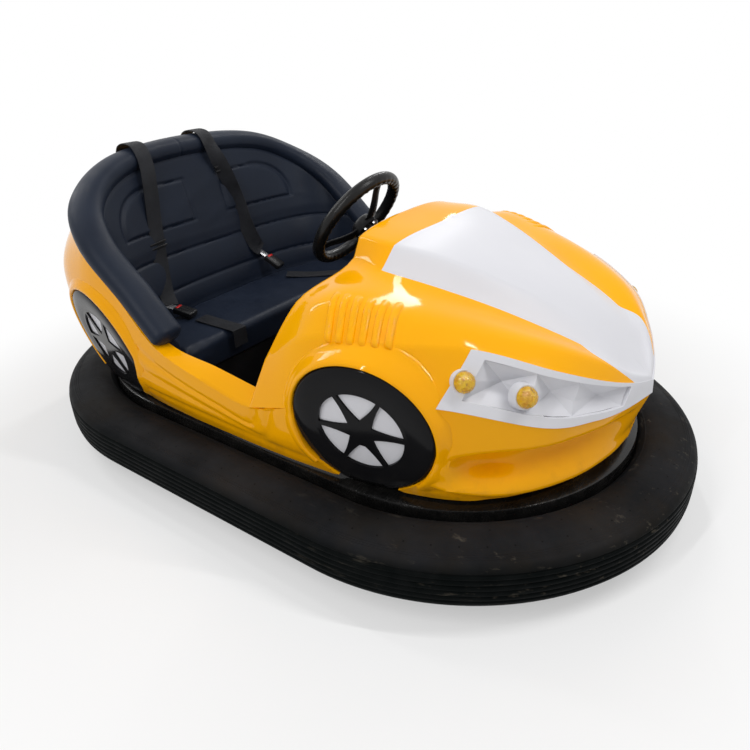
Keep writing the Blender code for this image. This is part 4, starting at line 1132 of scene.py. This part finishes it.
LIP_SECTION = [  # distance out from the arch, share of the way down to the skin, and height above that
    (0.0004, 0.0, -0.0200), (0.0004, 0.0, -0.0060), (0.0020, 0.0, -0.0018), (0.0048, 0.0, 0.0),
    (0.0085, 0.04, 0.0), (0.0135, 0.25, 0.0004), (0.0190, 0.60, 0.0006), (0.0245, 0.88, 0.0004), (0.0300, 1.0, -0.0006),
    (0.0290, 1.0, -0.0080), (0.0100, 1.0, -0.0200)]
LIP_STEPS = 220
LIP_FROM, LIP_TO = -44, 224  # degrees round the arch
LIP_NEAR, LIP_FAR, LIP_CREST = 0.012, 0.030, 0.0055


def skin_depth(centre, facing, along, radius):
    """How far out the skin stands from a dummy wheel's face, at a radius along a direction, or None."""
    hit, _, _, far = whole_skin.ray_cast(centre + along * radius + facing * 0.30, -facing, 0.42)
    return None if hit is None else 0.30 - far


def evened(values, width=7):
    """A moving average that keeps the two ends."""
    padded_ = np.pad(values, width, mode="edge")
    return np.convolve(padded_, np.ones(2 * width + 1) / (2 * width + 1), mode="valid")


for name in DISCS:
    for side, word in ((1, "left"), (-1, "right")):
        centre, facing = disc_frame(name, side)
        across = Vector((0, 0, 1)).cross(facing).normalized() * side
        over = facing.cross(across) * side
        directions, near_skin, far_skin = [], [], []
        for angle in np.radians(np.linspace(LIP_FROM, LIP_TO, LIP_STEPS)):
            along = across * math.cos(angle) + over * math.sin(angle)
            near = skin_depth(centre, facing, along, ARCH_RADIUS + LIP_NEAR)
            far = skin_depth(centre, facing, along, ARCH_RADIUS + LIP_FAR)
            if near is not None and far is not None and abs(near) < 0.08 and abs(far) < 0.10:
                directions.append(along)
                near_skin.append(near)
                far_skin.append(far)
        near_skin, far_skin = evened(np.array(near_skin)), evened(np.array(far_skin))
        points = []
        for along, near, far in zip(directions, near_skin, far_skin):
            crest = max(0.0005, near + LIP_CREST)
            for out, drop_, rise_ in LIP_SECTION:
                depth = crest + (far - crest) * drop_ + rise_
                points.append(centre + along * (ARCH_RADIUS + out) + facing * depth)
        make_piece(f"arch_lip_{name}_{word}", np.array([tuple(p) for p in points]),
                   tube_faces(len(directions), len(LIP_SECTION)), yellow, "yellow_gelcoat", sharp=70)
print("louvres:", 2 * LOUVRES, "arch lips: 4")

# %% [markdown]
# ## The seat
# The bench is three vinyl pieces: a cushion, a backrest that curves round the riders, and a padded roll
# over its top edge. Foam pushes the vinyl out between the seams, so each seam is a narrow valley between
# soft crowns.

# %% Backrest
CUSHION_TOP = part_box("seat_cushion")[1].z
SEAT_FOOT = [(-0.225, 0.440, 0.3575), (-0.300, 0.437, 0.3575), (-0.385, 0.410, 0.3575), (-0.445, 0.335, 0.3575),
             (-0.478, 0.200, 0.3575), (-0.488, 0, 0.3575)]


def both_sides(half_line):
    return [*half_line, *[(x, -y, z) for x, y, z in half_line[-2::-1]]]


def evenly(path, count):
    """A path's points, spaced evenly along it."""
    steps = np.linalg.norm(np.diff(path, axis=0), axis=1)
    travel = np.concatenate([[0], np.cumsum(steps)])
    at = np.linspace(0, travel[-1], count)
    return np.column_stack([np.interp(at, travel, path[:, k]) for k in range(3)]), at


BACK_COLUMNS, BACK_ROWS = 420, 120
head_line = [(max(min(x, -0.228), x - 0.03), y, z) for x, y, z in beside_roll(-0.024, -0.014)]
foot = curve_through(both_sides(SEAT_FOOT), 24) - (0, 0, 0.022)
head = curve_through(both_sides(head_line), 24)
share = np.linspace(0, len(foot) - 1, BACK_COLUMNS)
index = np.arange(len(foot))
foot = np.column_stack([np.interp(share, index, foot[:, k]) for k in range(3)])
head = np.column_stack([np.interp(share, index, head[:, k]) for k in range(3)])
rise = np.linspace(0, 1, BACK_ROWS)[:, None, None]
back = foot * (1 - rise) + head * rise
along = np.gradient(back, axis=1)
inside = np.cross(along, np.gradient(back, axis=0))
inside /= np.linalg.norm(inside, axis=2, keepdims=True)
inside *= np.sign((inside[:, BACK_COLUMNS // 2, 0]).mean())
lateral = np.concatenate([[0], np.cumsum(np.linalg.norm(np.diff(foot, axis=0), axis=1))])
lateral = np.tile((lateral[-1] / 2 - lateral)[None], (BACK_ROWS, 1))
SEAM_LOW, SEAM_HIGH = 0.408, 0.505
PAD_INNER, PAD_OUTER, PAD_LOW, PAD_HIGH = 0.060, 0.310, 0.580, 0.700


def valley(distance, width):
    return np.exp(-(distance / width) ** 2)


def pad_distance(a, z):
    """Distance from the outline of a seat's upper pad: square inside, and a quarter ellipse above outside."""
    reach = (np.abs(a) - PAD_INNER) / (PAD_OUTER - PAD_INNER)
    rise_ = (z - PAD_LOW) / (PAD_HIGH - PAD_LOW)
    corner = np.hypot(np.clip((reach - 0.45) / 0.55, 0, None), np.clip(rise_ - 0.05, 0, None) / 0.95)
    top_edge = (1 - corner) * np.minimum(0.5 * (PAD_HIGH - PAD_LOW), 0.10)
    flat_top = np.where(reach < 0.45, PAD_HIGH - z, top_edge)
    return np.minimum(np.minimum(np.abs(a) - PAD_INNER, z - PAD_LOW), flat_top)


height_z = back[..., 2]
near_top = (head[:, 2] - height_z)
foam = 0.0100 + 0.0035 * np.clip(1 - ((height_z - (CUSHION_TOP + SEAM_LOW) / 2) / 0.030) ** 2, 0, 1)
foam += 0.0040 * np.clip(1 - ((height_z - (SEAM_LOW + SEAM_HIGH) / 2) / 0.0480) ** 2, 0, 1)
foam += 0.0040 * smooth(height_z, SEAM_HIGH, SEAM_HIGH + 0.040)
foam = np.minimum(foam, 0.004 + 0.35 * np.clip(near_top, 0, None))
pad = pad_distance(lateral, height_z)
foam += 0.0020 * smooth(pad, 0.0, 0.010)
foam -= 0.0052 * valley(pad, 0.0030)
foam -= 0.0046 * valley(height_z - SEAM_LOW, 0.0034) + 0.0046 * valley(height_z - SEAM_HIGH, 0.0034)
rng = np.random.default_rng(4)
for _ in range(14):
    middle_a, middle_z, turn = rng.uniform(-0.6, 0.6), rng.uniform(0.42, 0.68), rng.uniform(-0.5, 0.5)
    wide, tall = rng.uniform(0.05, 0.10), rng.uniform(0.010, 0.022)
    da = (lateral - middle_a) * math.cos(turn) + (height_z - middle_z) * math.sin(turn)
    dz = (height_z - middle_z) * math.cos(turn) - (lateral - middle_a) * math.sin(turn)
    foam += rng.uniform(-0.0012, 0.0012) * np.exp(-(da / wide) ** 2 - (dz / tall) ** 2)
front_face = back + inside * foam[..., None]
BACK_THICK = 0.014
back_points = np.concatenate([front_face.reshape(-1, 3), foot - inside[0] * BACK_THICK,
                              head - inside[-1] * BACK_THICK])
base = BACK_ROWS * BACK_COLUMNS
faces = cells_of((BACK_ROWS, BACK_COLUMNS), range(BACK_ROWS - 1), range(BACK_COLUMNS - 1), (0,))
for c in range(BACK_COLUMNS - 1):
    top = (BACK_ROWS - 1) * BACK_COLUMNS + c
    faces.append([base + c, base + c + 1, base + BACK_COLUMNS + c + 1, base + BACK_COLUMNS + c])
    faces.append([c, c + 1, base + c + 1, base + c])
    faces.append([top, top + 1, base + BACK_COLUMNS + c + 1, base + BACK_COLUMNS + c])
for c in (0, BACK_COLUMNS - 1):
    faces.append([r * BACK_COLUMNS + c for r in range(BACK_ROWS)] + [base + BACK_COLUMNS + c, base + c])
backrest = make_piece("backrest", back_points, faces, vinyl, "seat_vinyl",
                      stands_for=("seat_back",), sharp=70)
print("backrest faces:", len(faces))

# %% [markdown]
# ### Padded roll
# The roll is a fat tube of foam in vinyl. A double seam runs along its cockpit side, its section is a
# rounded square, and it has gathers where it bends. Its two front ends are closed with rounded caps.

# %% Roll
ROLL_SIDES, ROLL_COLUMNS = 44, 420
roll_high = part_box("seat_roll")[1]
roll_path, roll_travel = evenly(curve_through(both_sides(ROLL_LINE), 40), ROLL_COLUMNS)
ROLL_WIDE, ROLL_DROP, ROLL_IN = 0.044, 0.008, 0.006
ROLL_TALL = roll_high.z - roll_path[:, 2].max() + ROLL_DROP + 0.001
tangent = np.gradient(roll_path, axis=0)
tangent /= np.linalg.norm(tangent, axis=1, keepdims=True)
sideways = np.cross(tangent, (0, 0, 1))
sideways /= np.linalg.norm(sideways, axis=1, keepdims=True)
if (sideways * roll_path).sum() < 0:
    sideways = -sideways
upward = np.cross(sideways, tangent)
upward *= np.sign(upward[:, 2:])
roll_path = roll_path - sideways * ROLL_IN - (0, 0, ROLL_DROP)
angle = np.linspace(0, 2 * math.pi, ROLL_SIDES, endpoint=False)
from_end = np.minimum(roll_travel, roll_travel[-1] - roll_travel)
cap = np.sqrt(np.clip(1 - np.clip(1 - from_end / 0.022, 0, 1) ** 2, 0.0004, 1))
middle_seam = valley(roll_path[:, 1] + 0.05, 0.0022)
points = []
for k in range(ROLL_COLUMNS):
    c, s = np.cos(angle), np.sin(angle)
    wide = np.sign(c) * np.abs(c) ** 0.86 * ROLL_WIDE
    tall = np.sign(s) * np.abs(s) ** 0.86 * ROLL_TALL
    swell = np.ones(ROLL_SIDES)
    for seam_angle in (math.radians(202), math.radians(217)):
        gap = np.abs((angle - seam_angle + math.pi) % (2 * math.pi) - math.pi)
        swell -= 0.07 * valley(gap, 0.045)
    ripple = 0.010 * math.sin(roll_travel[k] * 61) * math.sin(roll_travel[k] * 23 + 1)
    swell += ripple * np.clip(-c, 0, 1) - 0.05 * middle_seam[k]
    section = sideways[k] * (wide * swell)[:, None] + upward[k] * (tall * swell)[:, None]
    points.append(roll_path[k] + section * cap[k])
roll = make_piece("padded_roll", np.concatenate(points), tube_faces(ROLL_COLUMNS, ROLL_SIDES), vinyl,
                  "seat_vinyl", stands_for=("seat_roll",), sharp=80)
print("roll length, m:", round(float(roll_travel[-1]), 3))

# %% [markdown]
# ### Seat cushion
# The cushion is blown up by simulation, as foam does to its cover: its block is remeshed into even cells,
# cloth with a little pressure swells it, and the result is applied. How far a point may move is capped, so
# that the cushion keeps its size, and its top edges are rounded first.

# %% Cushion
CUSHION_CAP = 0.007
cushion_low, cushion_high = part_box("seat_cushion")
plan = [(p[0], p[1]) for p in curve_through(both_sides(SEAT_FOOT), 5)]
front_x = cushion_high.x
plan = [(front_x, plan[0][1]), *plan, (front_x, plan[-1][1])]
block = bmesh.new()
SHRINK, LIFT = 0.006, 0.003
outline = []
for x, y in plan:
    off_back = SHRINK if x < -0.4 else 0
    outline.append(block.verts.new((min(max(x, cushion_low.x + SHRINK), front_x - SHRINK) + off_back,
                                    y * (1 - SHRINK / 0.44), cushion_low.z + LIFT)))
base_face = block.faces.new(outline)
lifted = bmesh.ops.extrude_face_region(block, geom=[base_face])
top_verts = [v for v in lifted["geom"] if isinstance(v, bmesh.types.BMVert)]
block_height = cushion_high.z - cushion_low.z - LIFT - CUSHION_CAP * 0.6
bmesh.ops.translate(block, verts=top_verts, vec=(0, 0, block_height))
top_edges = [e for e in block.edges if all(v in top_verts for v in e.verts)]
bmesh.ops.bevel(block, geom=top_edges, offset=0.016, segments=4, profile=0.5, affect="EDGES")
bmesh.ops.recalc_face_normals(block, faces=block.faces)
mesh = bpy.data.meshes.new("cushion")
block.to_mesh(mesh)
block.free()
cushion = bpy.data.objects.new("cushion", mesh)
bpy.context.scene.collection.objects.link(cushion)
select_only(cushion)
mesh.remesh_voxel_size = 0.006
bpy.ops.object.voxel_remesh()
rest = np.array([v.co for v in cushion.data.vertices])
cloth = cushion.modifiers.new("foam", "CLOTH")
cloth.settings.use_pressure = True
cloth.settings.uniform_pressure_force = 4
cloth.settings.quality = 5
cloth.settings.effector_weights.gravity = 0
for step in range(1, 21):
    bpy.context.scene.frame_set(step)
bpy.ops.object.modifier_apply(modifier=cloth.name)
bpy.context.scene.frame_set(1)
swollen = np.array([v.co for v in cushion.data.vertices])
moved = swollen - rest
length = np.linalg.norm(moved, axis=1, keepdims=True)
swollen = rest + moved * np.minimum(1, CUSHION_CAP / np.maximum(length, 1e-9))
crown_x = 1 - ((swollen[:, 0] + 0.345) / 0.15) ** 2
crown_y = 1 - (swollen[:, 1] / 0.45) ** 2
on_top = smooth(swollen[:, 2], 0.325, 0.345)
swollen[:, 2] += 0.004 * np.clip(crown_x, 0, 1) * np.clip(crown_y, 0, 1) * on_top
swollen[:, 2] = np.clip(swollen[:, 2], cushion_low.z + 0.001, cushion_high.z + 0.0015)
cushion.data.vertices.foreach_set("co", swollen.astype(np.float32).ravel())
cushion.data.materials.append(vinyl)
cushion.data.shade_smooth()
smoothing = cushion.modifiers.new("even", "SMOOTH")
smoothing.iterations = 4
smoothing.factor = 0.5
fine = cushion.modifiers.new("fine", "SUBSURF")
fine.levels = 1
fine.render_levels = 1
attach(cushion, "car")
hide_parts("seat_cushion")
print("cushion moved by up to, mm:", round(float(length.max()) * 1000, 1))

# %% [markdown]
# ### Belts
# Webbing is a flat strap, 48 mm wide and 2.4 mm thick, laid along a smooth path. Marks for how far along
# and across each point is carry the weave. Each rider has a shoulder strap over the roll, a slider, a
# buckle and a lap strap.

# %% Straps
BELT_WIDTH, BELT_THICK = 0.048, 0.0024
BELTS = {
    "right": ([(-0.666, -0.190, 0.790), (-0.652, -0.190, 0.812), (-0.621, -0.190, 0.822), (-0.582, -0.192, 0.812),
               (-0.556, -0.196, 0.768), (-0.541, -0.208, 0.700), (-0.528, -0.225, 0.600), (-0.505, -0.245, 0.500),
               (-0.476, -0.266, 0.420), (-0.450, -0.276, 0.388)],
              [(-0.352, -0.252, 0.3615), (-0.300, -0.250, 0.3600), (-0.240, -0.248, 0.3600),
               (-0.205, -0.247, 0.3600), (-0.199, -0.247, 0.3540), (-0.198, -0.247, 0.310)]),
    "left": ([(-0.671, 0.050, 0.796), (-0.657, 0.050, 0.818), (-0.626, 0.050, 0.828), (-0.586, 0.052, 0.818),
              (-0.560, 0.056, 0.773), (-0.545, 0.082, 0.700), (-0.532, 0.108, 0.610), (-0.505, 0.112, 0.520),
              (-0.488, 0.126, 0.462), (-0.480, 0.142, 0.442)],
             [(-0.390, 0.160, 0.3640), (-0.330, 0.205, 0.3600), (-0.260, 0.265, 0.3600),
              (-0.205, 0.308, 0.3600), (-0.199, 0.313, 0.3540), (-0.198, 0.314, 0.310)]),
}


def make_strap(name, path, node, twist=None):
    """A strap along a path. twist gives an angle in degrees for a share of the way along it."""
    path = curve_through(path, 14)
    tangent = np.gradient(path, axis=0)
    tangent /= np.linalg.norm(tangent, axis=1, keepdims=True)
    flat = np.array([0, 1.0, 0])
    travel = np.concatenate([[0], np.cumsum(np.linalg.norm(np.diff(path, axis=0), axis=1))])
    points, alongs, acrosses = [], [], []
    section = [(-1, 1), (-0.6, 1), (0, 1), (0.6, 1), (1, 1), (1, -1), (0.6, -1), (0, -1), (-0.6, -1), (-1, -1)]
    for k, spot in enumerate(path):
        side = flat - tangent[k] * (flat @ tangent[k])
        side /= np.linalg.norm(side)
        over = np.cross(tangent[k], side)
        if twist:
            angle = math.radians(np.interp(k / (len(path) - 1), *zip(*twist)))
            side, over = (side * math.cos(angle) + over * math.sin(angle),
                          over * math.cos(angle) - side * math.sin(angle))
        for u, w in section:
            thin = 0.75 if abs(u) == 1 else 1.0
            points.append(spot + side * u * BELT_WIDTH / 2 + over * w * thin * BELT_THICK / 2)
            alongs.append(travel[k])
            acrosses.append(u * BELT_WIDTH / 2)
    return make_piece(name, points, tube_faces(len(path), len(section)), webbing, "webbing",
                      stands_for=(node,), sharp=60, along=alongs, across=acrosses)


TWIST = [(0, 0), (0.42, 0), (0.55, 38), (0.72, 62), (0.88, 30), (1, 0)]
for word, (shoulder, lap) in BELTS.items():
    make_strap(f"shoulder_strap_{word}", shoulder, f"shoulder_belt_{word}",
               twist=TWIST if word == "left" else None)
    make_strap(f"lap_strap_{word}", lap, f"lap_belt_{word}")
print("straps: 4")


# %% Boxes with soft edges, for buckles, sliders and the pedal
def soft_box(name, size, where, finish, body="car", stands_for=(), bevel=0.002, segments=3):
    bpy.ops.object.select_all(action="DESELECT")
    bpy.ops.mesh.primitive_cube_add(size=1)
    piece = bpy.context.object
    piece.scale = size
    bpy.ops.object.transform_apply(location=False, rotation=False, scale=True)
    bpy.ops.object.mode_set(mode="EDIT")
    bpy.ops.mesh.select_all(action="SELECT")
    bpy.ops.mesh.bevel(offset=bevel, segments=segments, affect="EDGES")
    bpy.ops.object.mode_set(mode="OBJECT")
    piece.matrix_world = where
    return adopt(piece, name, finish, body, stands_for)


def looking(middle, heading, up=(0, 0, 1)):
    """A frame whose Z runs along a heading and whose Y faces up."""
    heading = Vector(heading).normalized()
    across = Vector(up).cross(heading).normalized()
    over = heading.cross(across)
    return Matrix.Translation(middle) @ Matrix((across, over, heading)).transposed().to_4x4()


BUCKLES = {"right": ((-0.400, -0.268, 0.3755), (0.92, 0.30, -0.22)),
           "left": ((-0.436, 0.152, 0.4030), (0.84, 0.18, -0.52))}
for word, (middle, heading) in BUCKLES.items():
    frame_here = looking(middle, heading)
    soft_box(f"buckle_case_{word}", (0.040, 0.018, 0.060), frame_here, satin_plastic,
             stands_for=(f"buckle_{word}",), bevel=0.004)
    soft_box(f"buckle_button_{word}", (0.024, 0.003, 0.008),
             frame_here @ Matrix.Translation((0, 0.0085, -0.022)), red_plastic, bevel=0.001)
    soft_box(f"buckle_tongue_{word}", (0.026, 0.003, 0.040),
             frame_here @ Matrix.Translation((0, 0.0, -0.042)), bright_steel, bevel=0.001)
    soft_box(f"buckle_mouth_{word}", (0.034, 0.008, 0.004),
             frame_here @ Matrix.Translation((0, 0.001, -0.0285)), red_plastic, bevel=0.001)

SLIDERS = {"right": ((-0.5165, -0.2345, 0.548), (-0.10, -0.09, 1)),
           "left": ((-0.5560, 0.080, 0.715), (-0.16, -0.14, 1))}
for word, (middle, heading) in SLIDERS.items():
    frame_here = looking(middle, heading, (1, 0, 0.2))
    for k, shift in enumerate((-0.0065, 0.0065)):
        soft_box(f"slider_{word}_{k + 1}", (0.058, 0.007, 0.0055),
                 frame_here @ Matrix.Translation((0, 0.001, shift)), satin_plastic, bevel=0.0015)
print("buckles and sliders: 2 of each")

# %% [markdown]
# ## Steering wheel
# The rim is a round grip with finger ridges behind, on three flat spokes that drop to a padded hub. Bolts
# hold the hub to the column. It turns with the steering body, so its frame comes from that joint.

# %% Steering wheel
steering_joint = next(joint for joint in frame["joints"] if joint["name"] == "steering_turn")
wheel_centre = Vector(steering_joint["pos_m"])
wheel_axis = Vector(steering_joint["axis"]).normalized()
wheel_frame = Matrix.Translation(wheel_centre) @ wheel_axis.to_track_quat("Z", "Y").to_matrix().to_4x4()
WHEEL_RADIUS, GRIP_RADIUS = 0.1355, 0.0160
bpy.ops.object.select_all(action="DESELECT")
bpy.ops.mesh.primitive_torus_add(major_radius=WHEEL_RADIUS, minor_radius=GRIP_RADIUS, major_segments=144,
                                 minor_segments=28)
rim = bpy.context.object
spots = np.array([v.co for v in rim.data.vertices])
turn = np.arctan2(spots[:, 1], spots[:, 0])
out = np.hypot(spots[:, 0], spots[:, 1]) - WHEEL_RADIUS
behind = np.clip(-spots[:, 2] / GRIP_RADIUS, 0, 1) + np.clip(-out / GRIP_RADIUS, 0, 1)
spots[:, 2] -= 0.0011 * behind * np.clip(np.sin(turn * 40), 0, 1)
rim.data.vertices.foreach_set("co", spots.astype(np.float32).ravel())
rim.matrix_world = wheel_frame
adopt(rim, "steering_rim", grip_plastic, "steering", ("steering_wheel",), 80)

SPOKE_LINE = curve_through([(0.022, -0.031, 0.021), (0.045, -0.030, 0.017), (0.075, -0.021, 0.014),
                            (0.105, -0.009, 0.012), (0.130, -0.003, 0.012)], 6)  # radius, height, half width
SPOKE_SECTION = ((-1, 0.3), (-0.7, 1), (0.7, 1), (1, 0.3), (1, -0.3), (0.7, -1), (-0.7, -1), (-1, -0.3))
SPOKE_HALF = 0.0045
for k, angle in enumerate((90, 210, 330)):
    reach = math.radians(angle)
    points = []
    for r, z, half in SPOKE_LINE:
        for u, w in SPOKE_SECTION:
            local = Vector((r * math.cos(reach) - u * half * math.sin(reach),
                            r * math.sin(reach) + u * half * math.cos(reach), z + w * SPOKE_HALF))
            points.append(wheel_frame @ local)
    make_piece(f"steering_spoke_{k + 1}", np.array(points), tube_faces(len(SPOKE_LINE), len(SPOKE_SECTION)),
               satin_plastic, "black_plastic", "steering", sharp=50)


def turned(name, profile, where, finish, slot, body="car", stands_for=(), steps=64, sharp=35):
    """A (radius, height) profile spun about the frame's Z, from its top centre to its bottom centre."""
    points = [spot for radius, z in profile for spot in circle(max(radius, 1e-5), z, steps)]
    faces = tube_faces(len(profile), steps, ends=False)
    faces += [list(range(steps)), list(range(len(points) - steps, len(points)))[::-1]]
    return make_piece(name, placed_at(where, points), faces, finish, slot, body, stands_for, sharp)


turned("steering_hub", [(0, -0.010), (0.018, -0.0105), (0.028, -0.0135), (0.033, -0.019), (0.035, -0.027),
                        (0.036, -0.044), (0.030, -0.046), (0, -0.046)], wheel_frame, satin_plastic,
       "black_plastic", "steering")
turned("steering_boss", [(0, -0.044), (0.024, -0.044), (0.026, -0.048), (0.026, -0.060), (0.015, -0.066),
                         (0, -0.066)], wheel_frame, black_steel, "black_steel", "steering")
for k in range(6):
    a = math.radians(60 * k + 30)
    spot_here = wheel_frame @ Matrix.Translation((0.030 * math.cos(a), 0.030 * math.sin(a), -0.0485))
    turned(f"steering_bolt_{k + 1}", [(0, 0.004), (0.0042, 0.004), (0.0048, 0.003), (0.0048, -0.003), (0, -0.003)],
           spot_here, bright_steel, "bright_steel", "steering", steps=6, sharp=20)
print("steering wheel: 3 spokes and 6 bolts")

# %% [markdown]
# ## Lamps
# Each amber lamp is a faceted dome on a white bezel, held in a white boss in front of its pod. Flat facets
# make the sparkle, so the dome is shaded flat.

# %% Lamps
LAMP_FACING = {"left": Vector((0.75, 0.55, 0.35)).normalized(),
               "right": Vector((0.75, -0.55, 0.35)).normalized()}
for place_name in ("outer", "inner"):
    for word, facing in LAMP_FACING.items():
        low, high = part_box(f"lamp_{place_name}_{word}")
        base_here = (low + high) / 2 - facing * 0.012
        lamp_frame = Matrix.Translation(base_here) @ facing.to_track_quat("Z", "Y").to_matrix().to_4x4()
        turned(f"lamp_dome_{place_name}_{word}",
               [(0, 0.0210), (0.0062, 0.0203), (0.0118, 0.0179), (0.0164, 0.0140), (0.0196, 0.0092),
                (0.0214, 0.0043), (0.0222, 0.0), (0.0222, -0.004), (0, -0.004)],
               lamp_frame, amber, "amber_lens", stands_for=(f"lamp_{place_name}_{word}",), steps=14, sharp=4)
        turned(f"lamp_reflector_{place_name}_{word}",
               [(0, -0.0045), (0.010, -0.0042), (0.020, -0.0035), (0.0232, -0.0015), (0.0245, -0.0015),
                (0.0252, -0.0035), (0.0252, -0.007), (0, -0.007)], lamp_frame, white, "white_gelcoat", steps=40)
        turned(f"lamp_boss_{place_name}_{word}",
               [(0, -0.006), (0.0250, -0.006), (0.0262, -0.008), (0.0270, -0.015), (0.029, -0.024), (0, -0.024)],
               lamp_frame, white, "white_gelcoat", steps=40)
print("lamps: 4")

# %% [markdown]
# ## Footwell and underside
# A ribbed rubber mat lies on the chassis plate, the pedal has a ribbed tread, and the engineered plates,
# wheels and brackets that show from below keep their shape and get real finishes.

# %% Mat and pedal
mat_low, mat_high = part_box("floor_mat")
RIB_PITCH, RIB_HEIGHT = 0.012, 0.002
ribs = int((mat_high.y - mat_low.y) / RIB_PITCH)
section = [(mat_high.y, mat_low.z), (mat_low.y, mat_low.z), (mat_low.y, mat_high.z - RIB_HEIGHT)]
for k in range(ribs):
    start = mat_low.y + (k + 0.25) * RIB_PITCH
    section += [(start, mat_high.z - RIB_HEIGHT), (start + 0.0015, mat_high.z), (start + 0.0045, mat_high.z),
                (start + 0.006, mat_high.z - RIB_HEIGHT)]
section.append((mat_high.y, mat_high.z - RIB_HEIGHT))
count = len(section)
points = [(x, y, z) for x in (mat_low.x, mat_high.x) for y, z in section]
faces = [list(range(count)), list(range(count, 2 * count))[::-1]]
faces += [[k, (k + 1) % count, count + (k + 1) % count, count + k] for k in range(count)]
make_piece("ribbed_mat", points, faces, mat_rubber, "floor_rubber", stands_for=("floor_mat",), sharp=20)

pedal_low, pedal_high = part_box("accelerator_pedal")
pedal_frame = Matrix.Translation((pedal_low + pedal_high) / 2) @ Matrix.Rotation(math.radians(-40), 4, "Y")
soft_box("pedal_plate", (0.118, 0.068, 0.006), pedal_frame, bright_steel,
         stands_for=("accelerator_pedal",), bevel=0.0015)
for k in range(6):
    soft_box(f"pedal_rib_{k + 1}", (0.006, 0.058, 0.003),
             pedal_frame @ Matrix.Translation(((k - 2.5) * 0.017, 0, 0.0035)), mat_rubber,
             bevel=0.001)

# %% Engineered nodes that stay in view
STAY = {
    "black_steel": ("chassis_plate", "drive_mount", "drive_fork", "rear_bracket_left", "rear_bracket_right",
                    "steering_column"),
    "bright_steel": ("hub_motor", "rear_axle_left", "rear_axle_right", "steering_shaft"),
    "wheel_rubber": ("drive_tyre", "rear_wheel_left", "rear_wheel_right"),
    "black_plastic": ("seat_box", "footwell_bulkhead", "dash_panel"),
    "battery_case": ("battery_pack",),
}
FINISHES = {"black_steel": black_steel, "bright_steel": bright_steel, "wheel_rubber": wheel_rubber,
            "black_plastic": satin_plastic, "battery_case": battery_case}
for slot_name, names in STAY.items():
    for name in names:
        for slot_ in nodes[name].material_slots:
            slot_.material = FINISHES[slot_name]
print("engineered nodes kept:", sum(len(names) for names in STAY.values()))
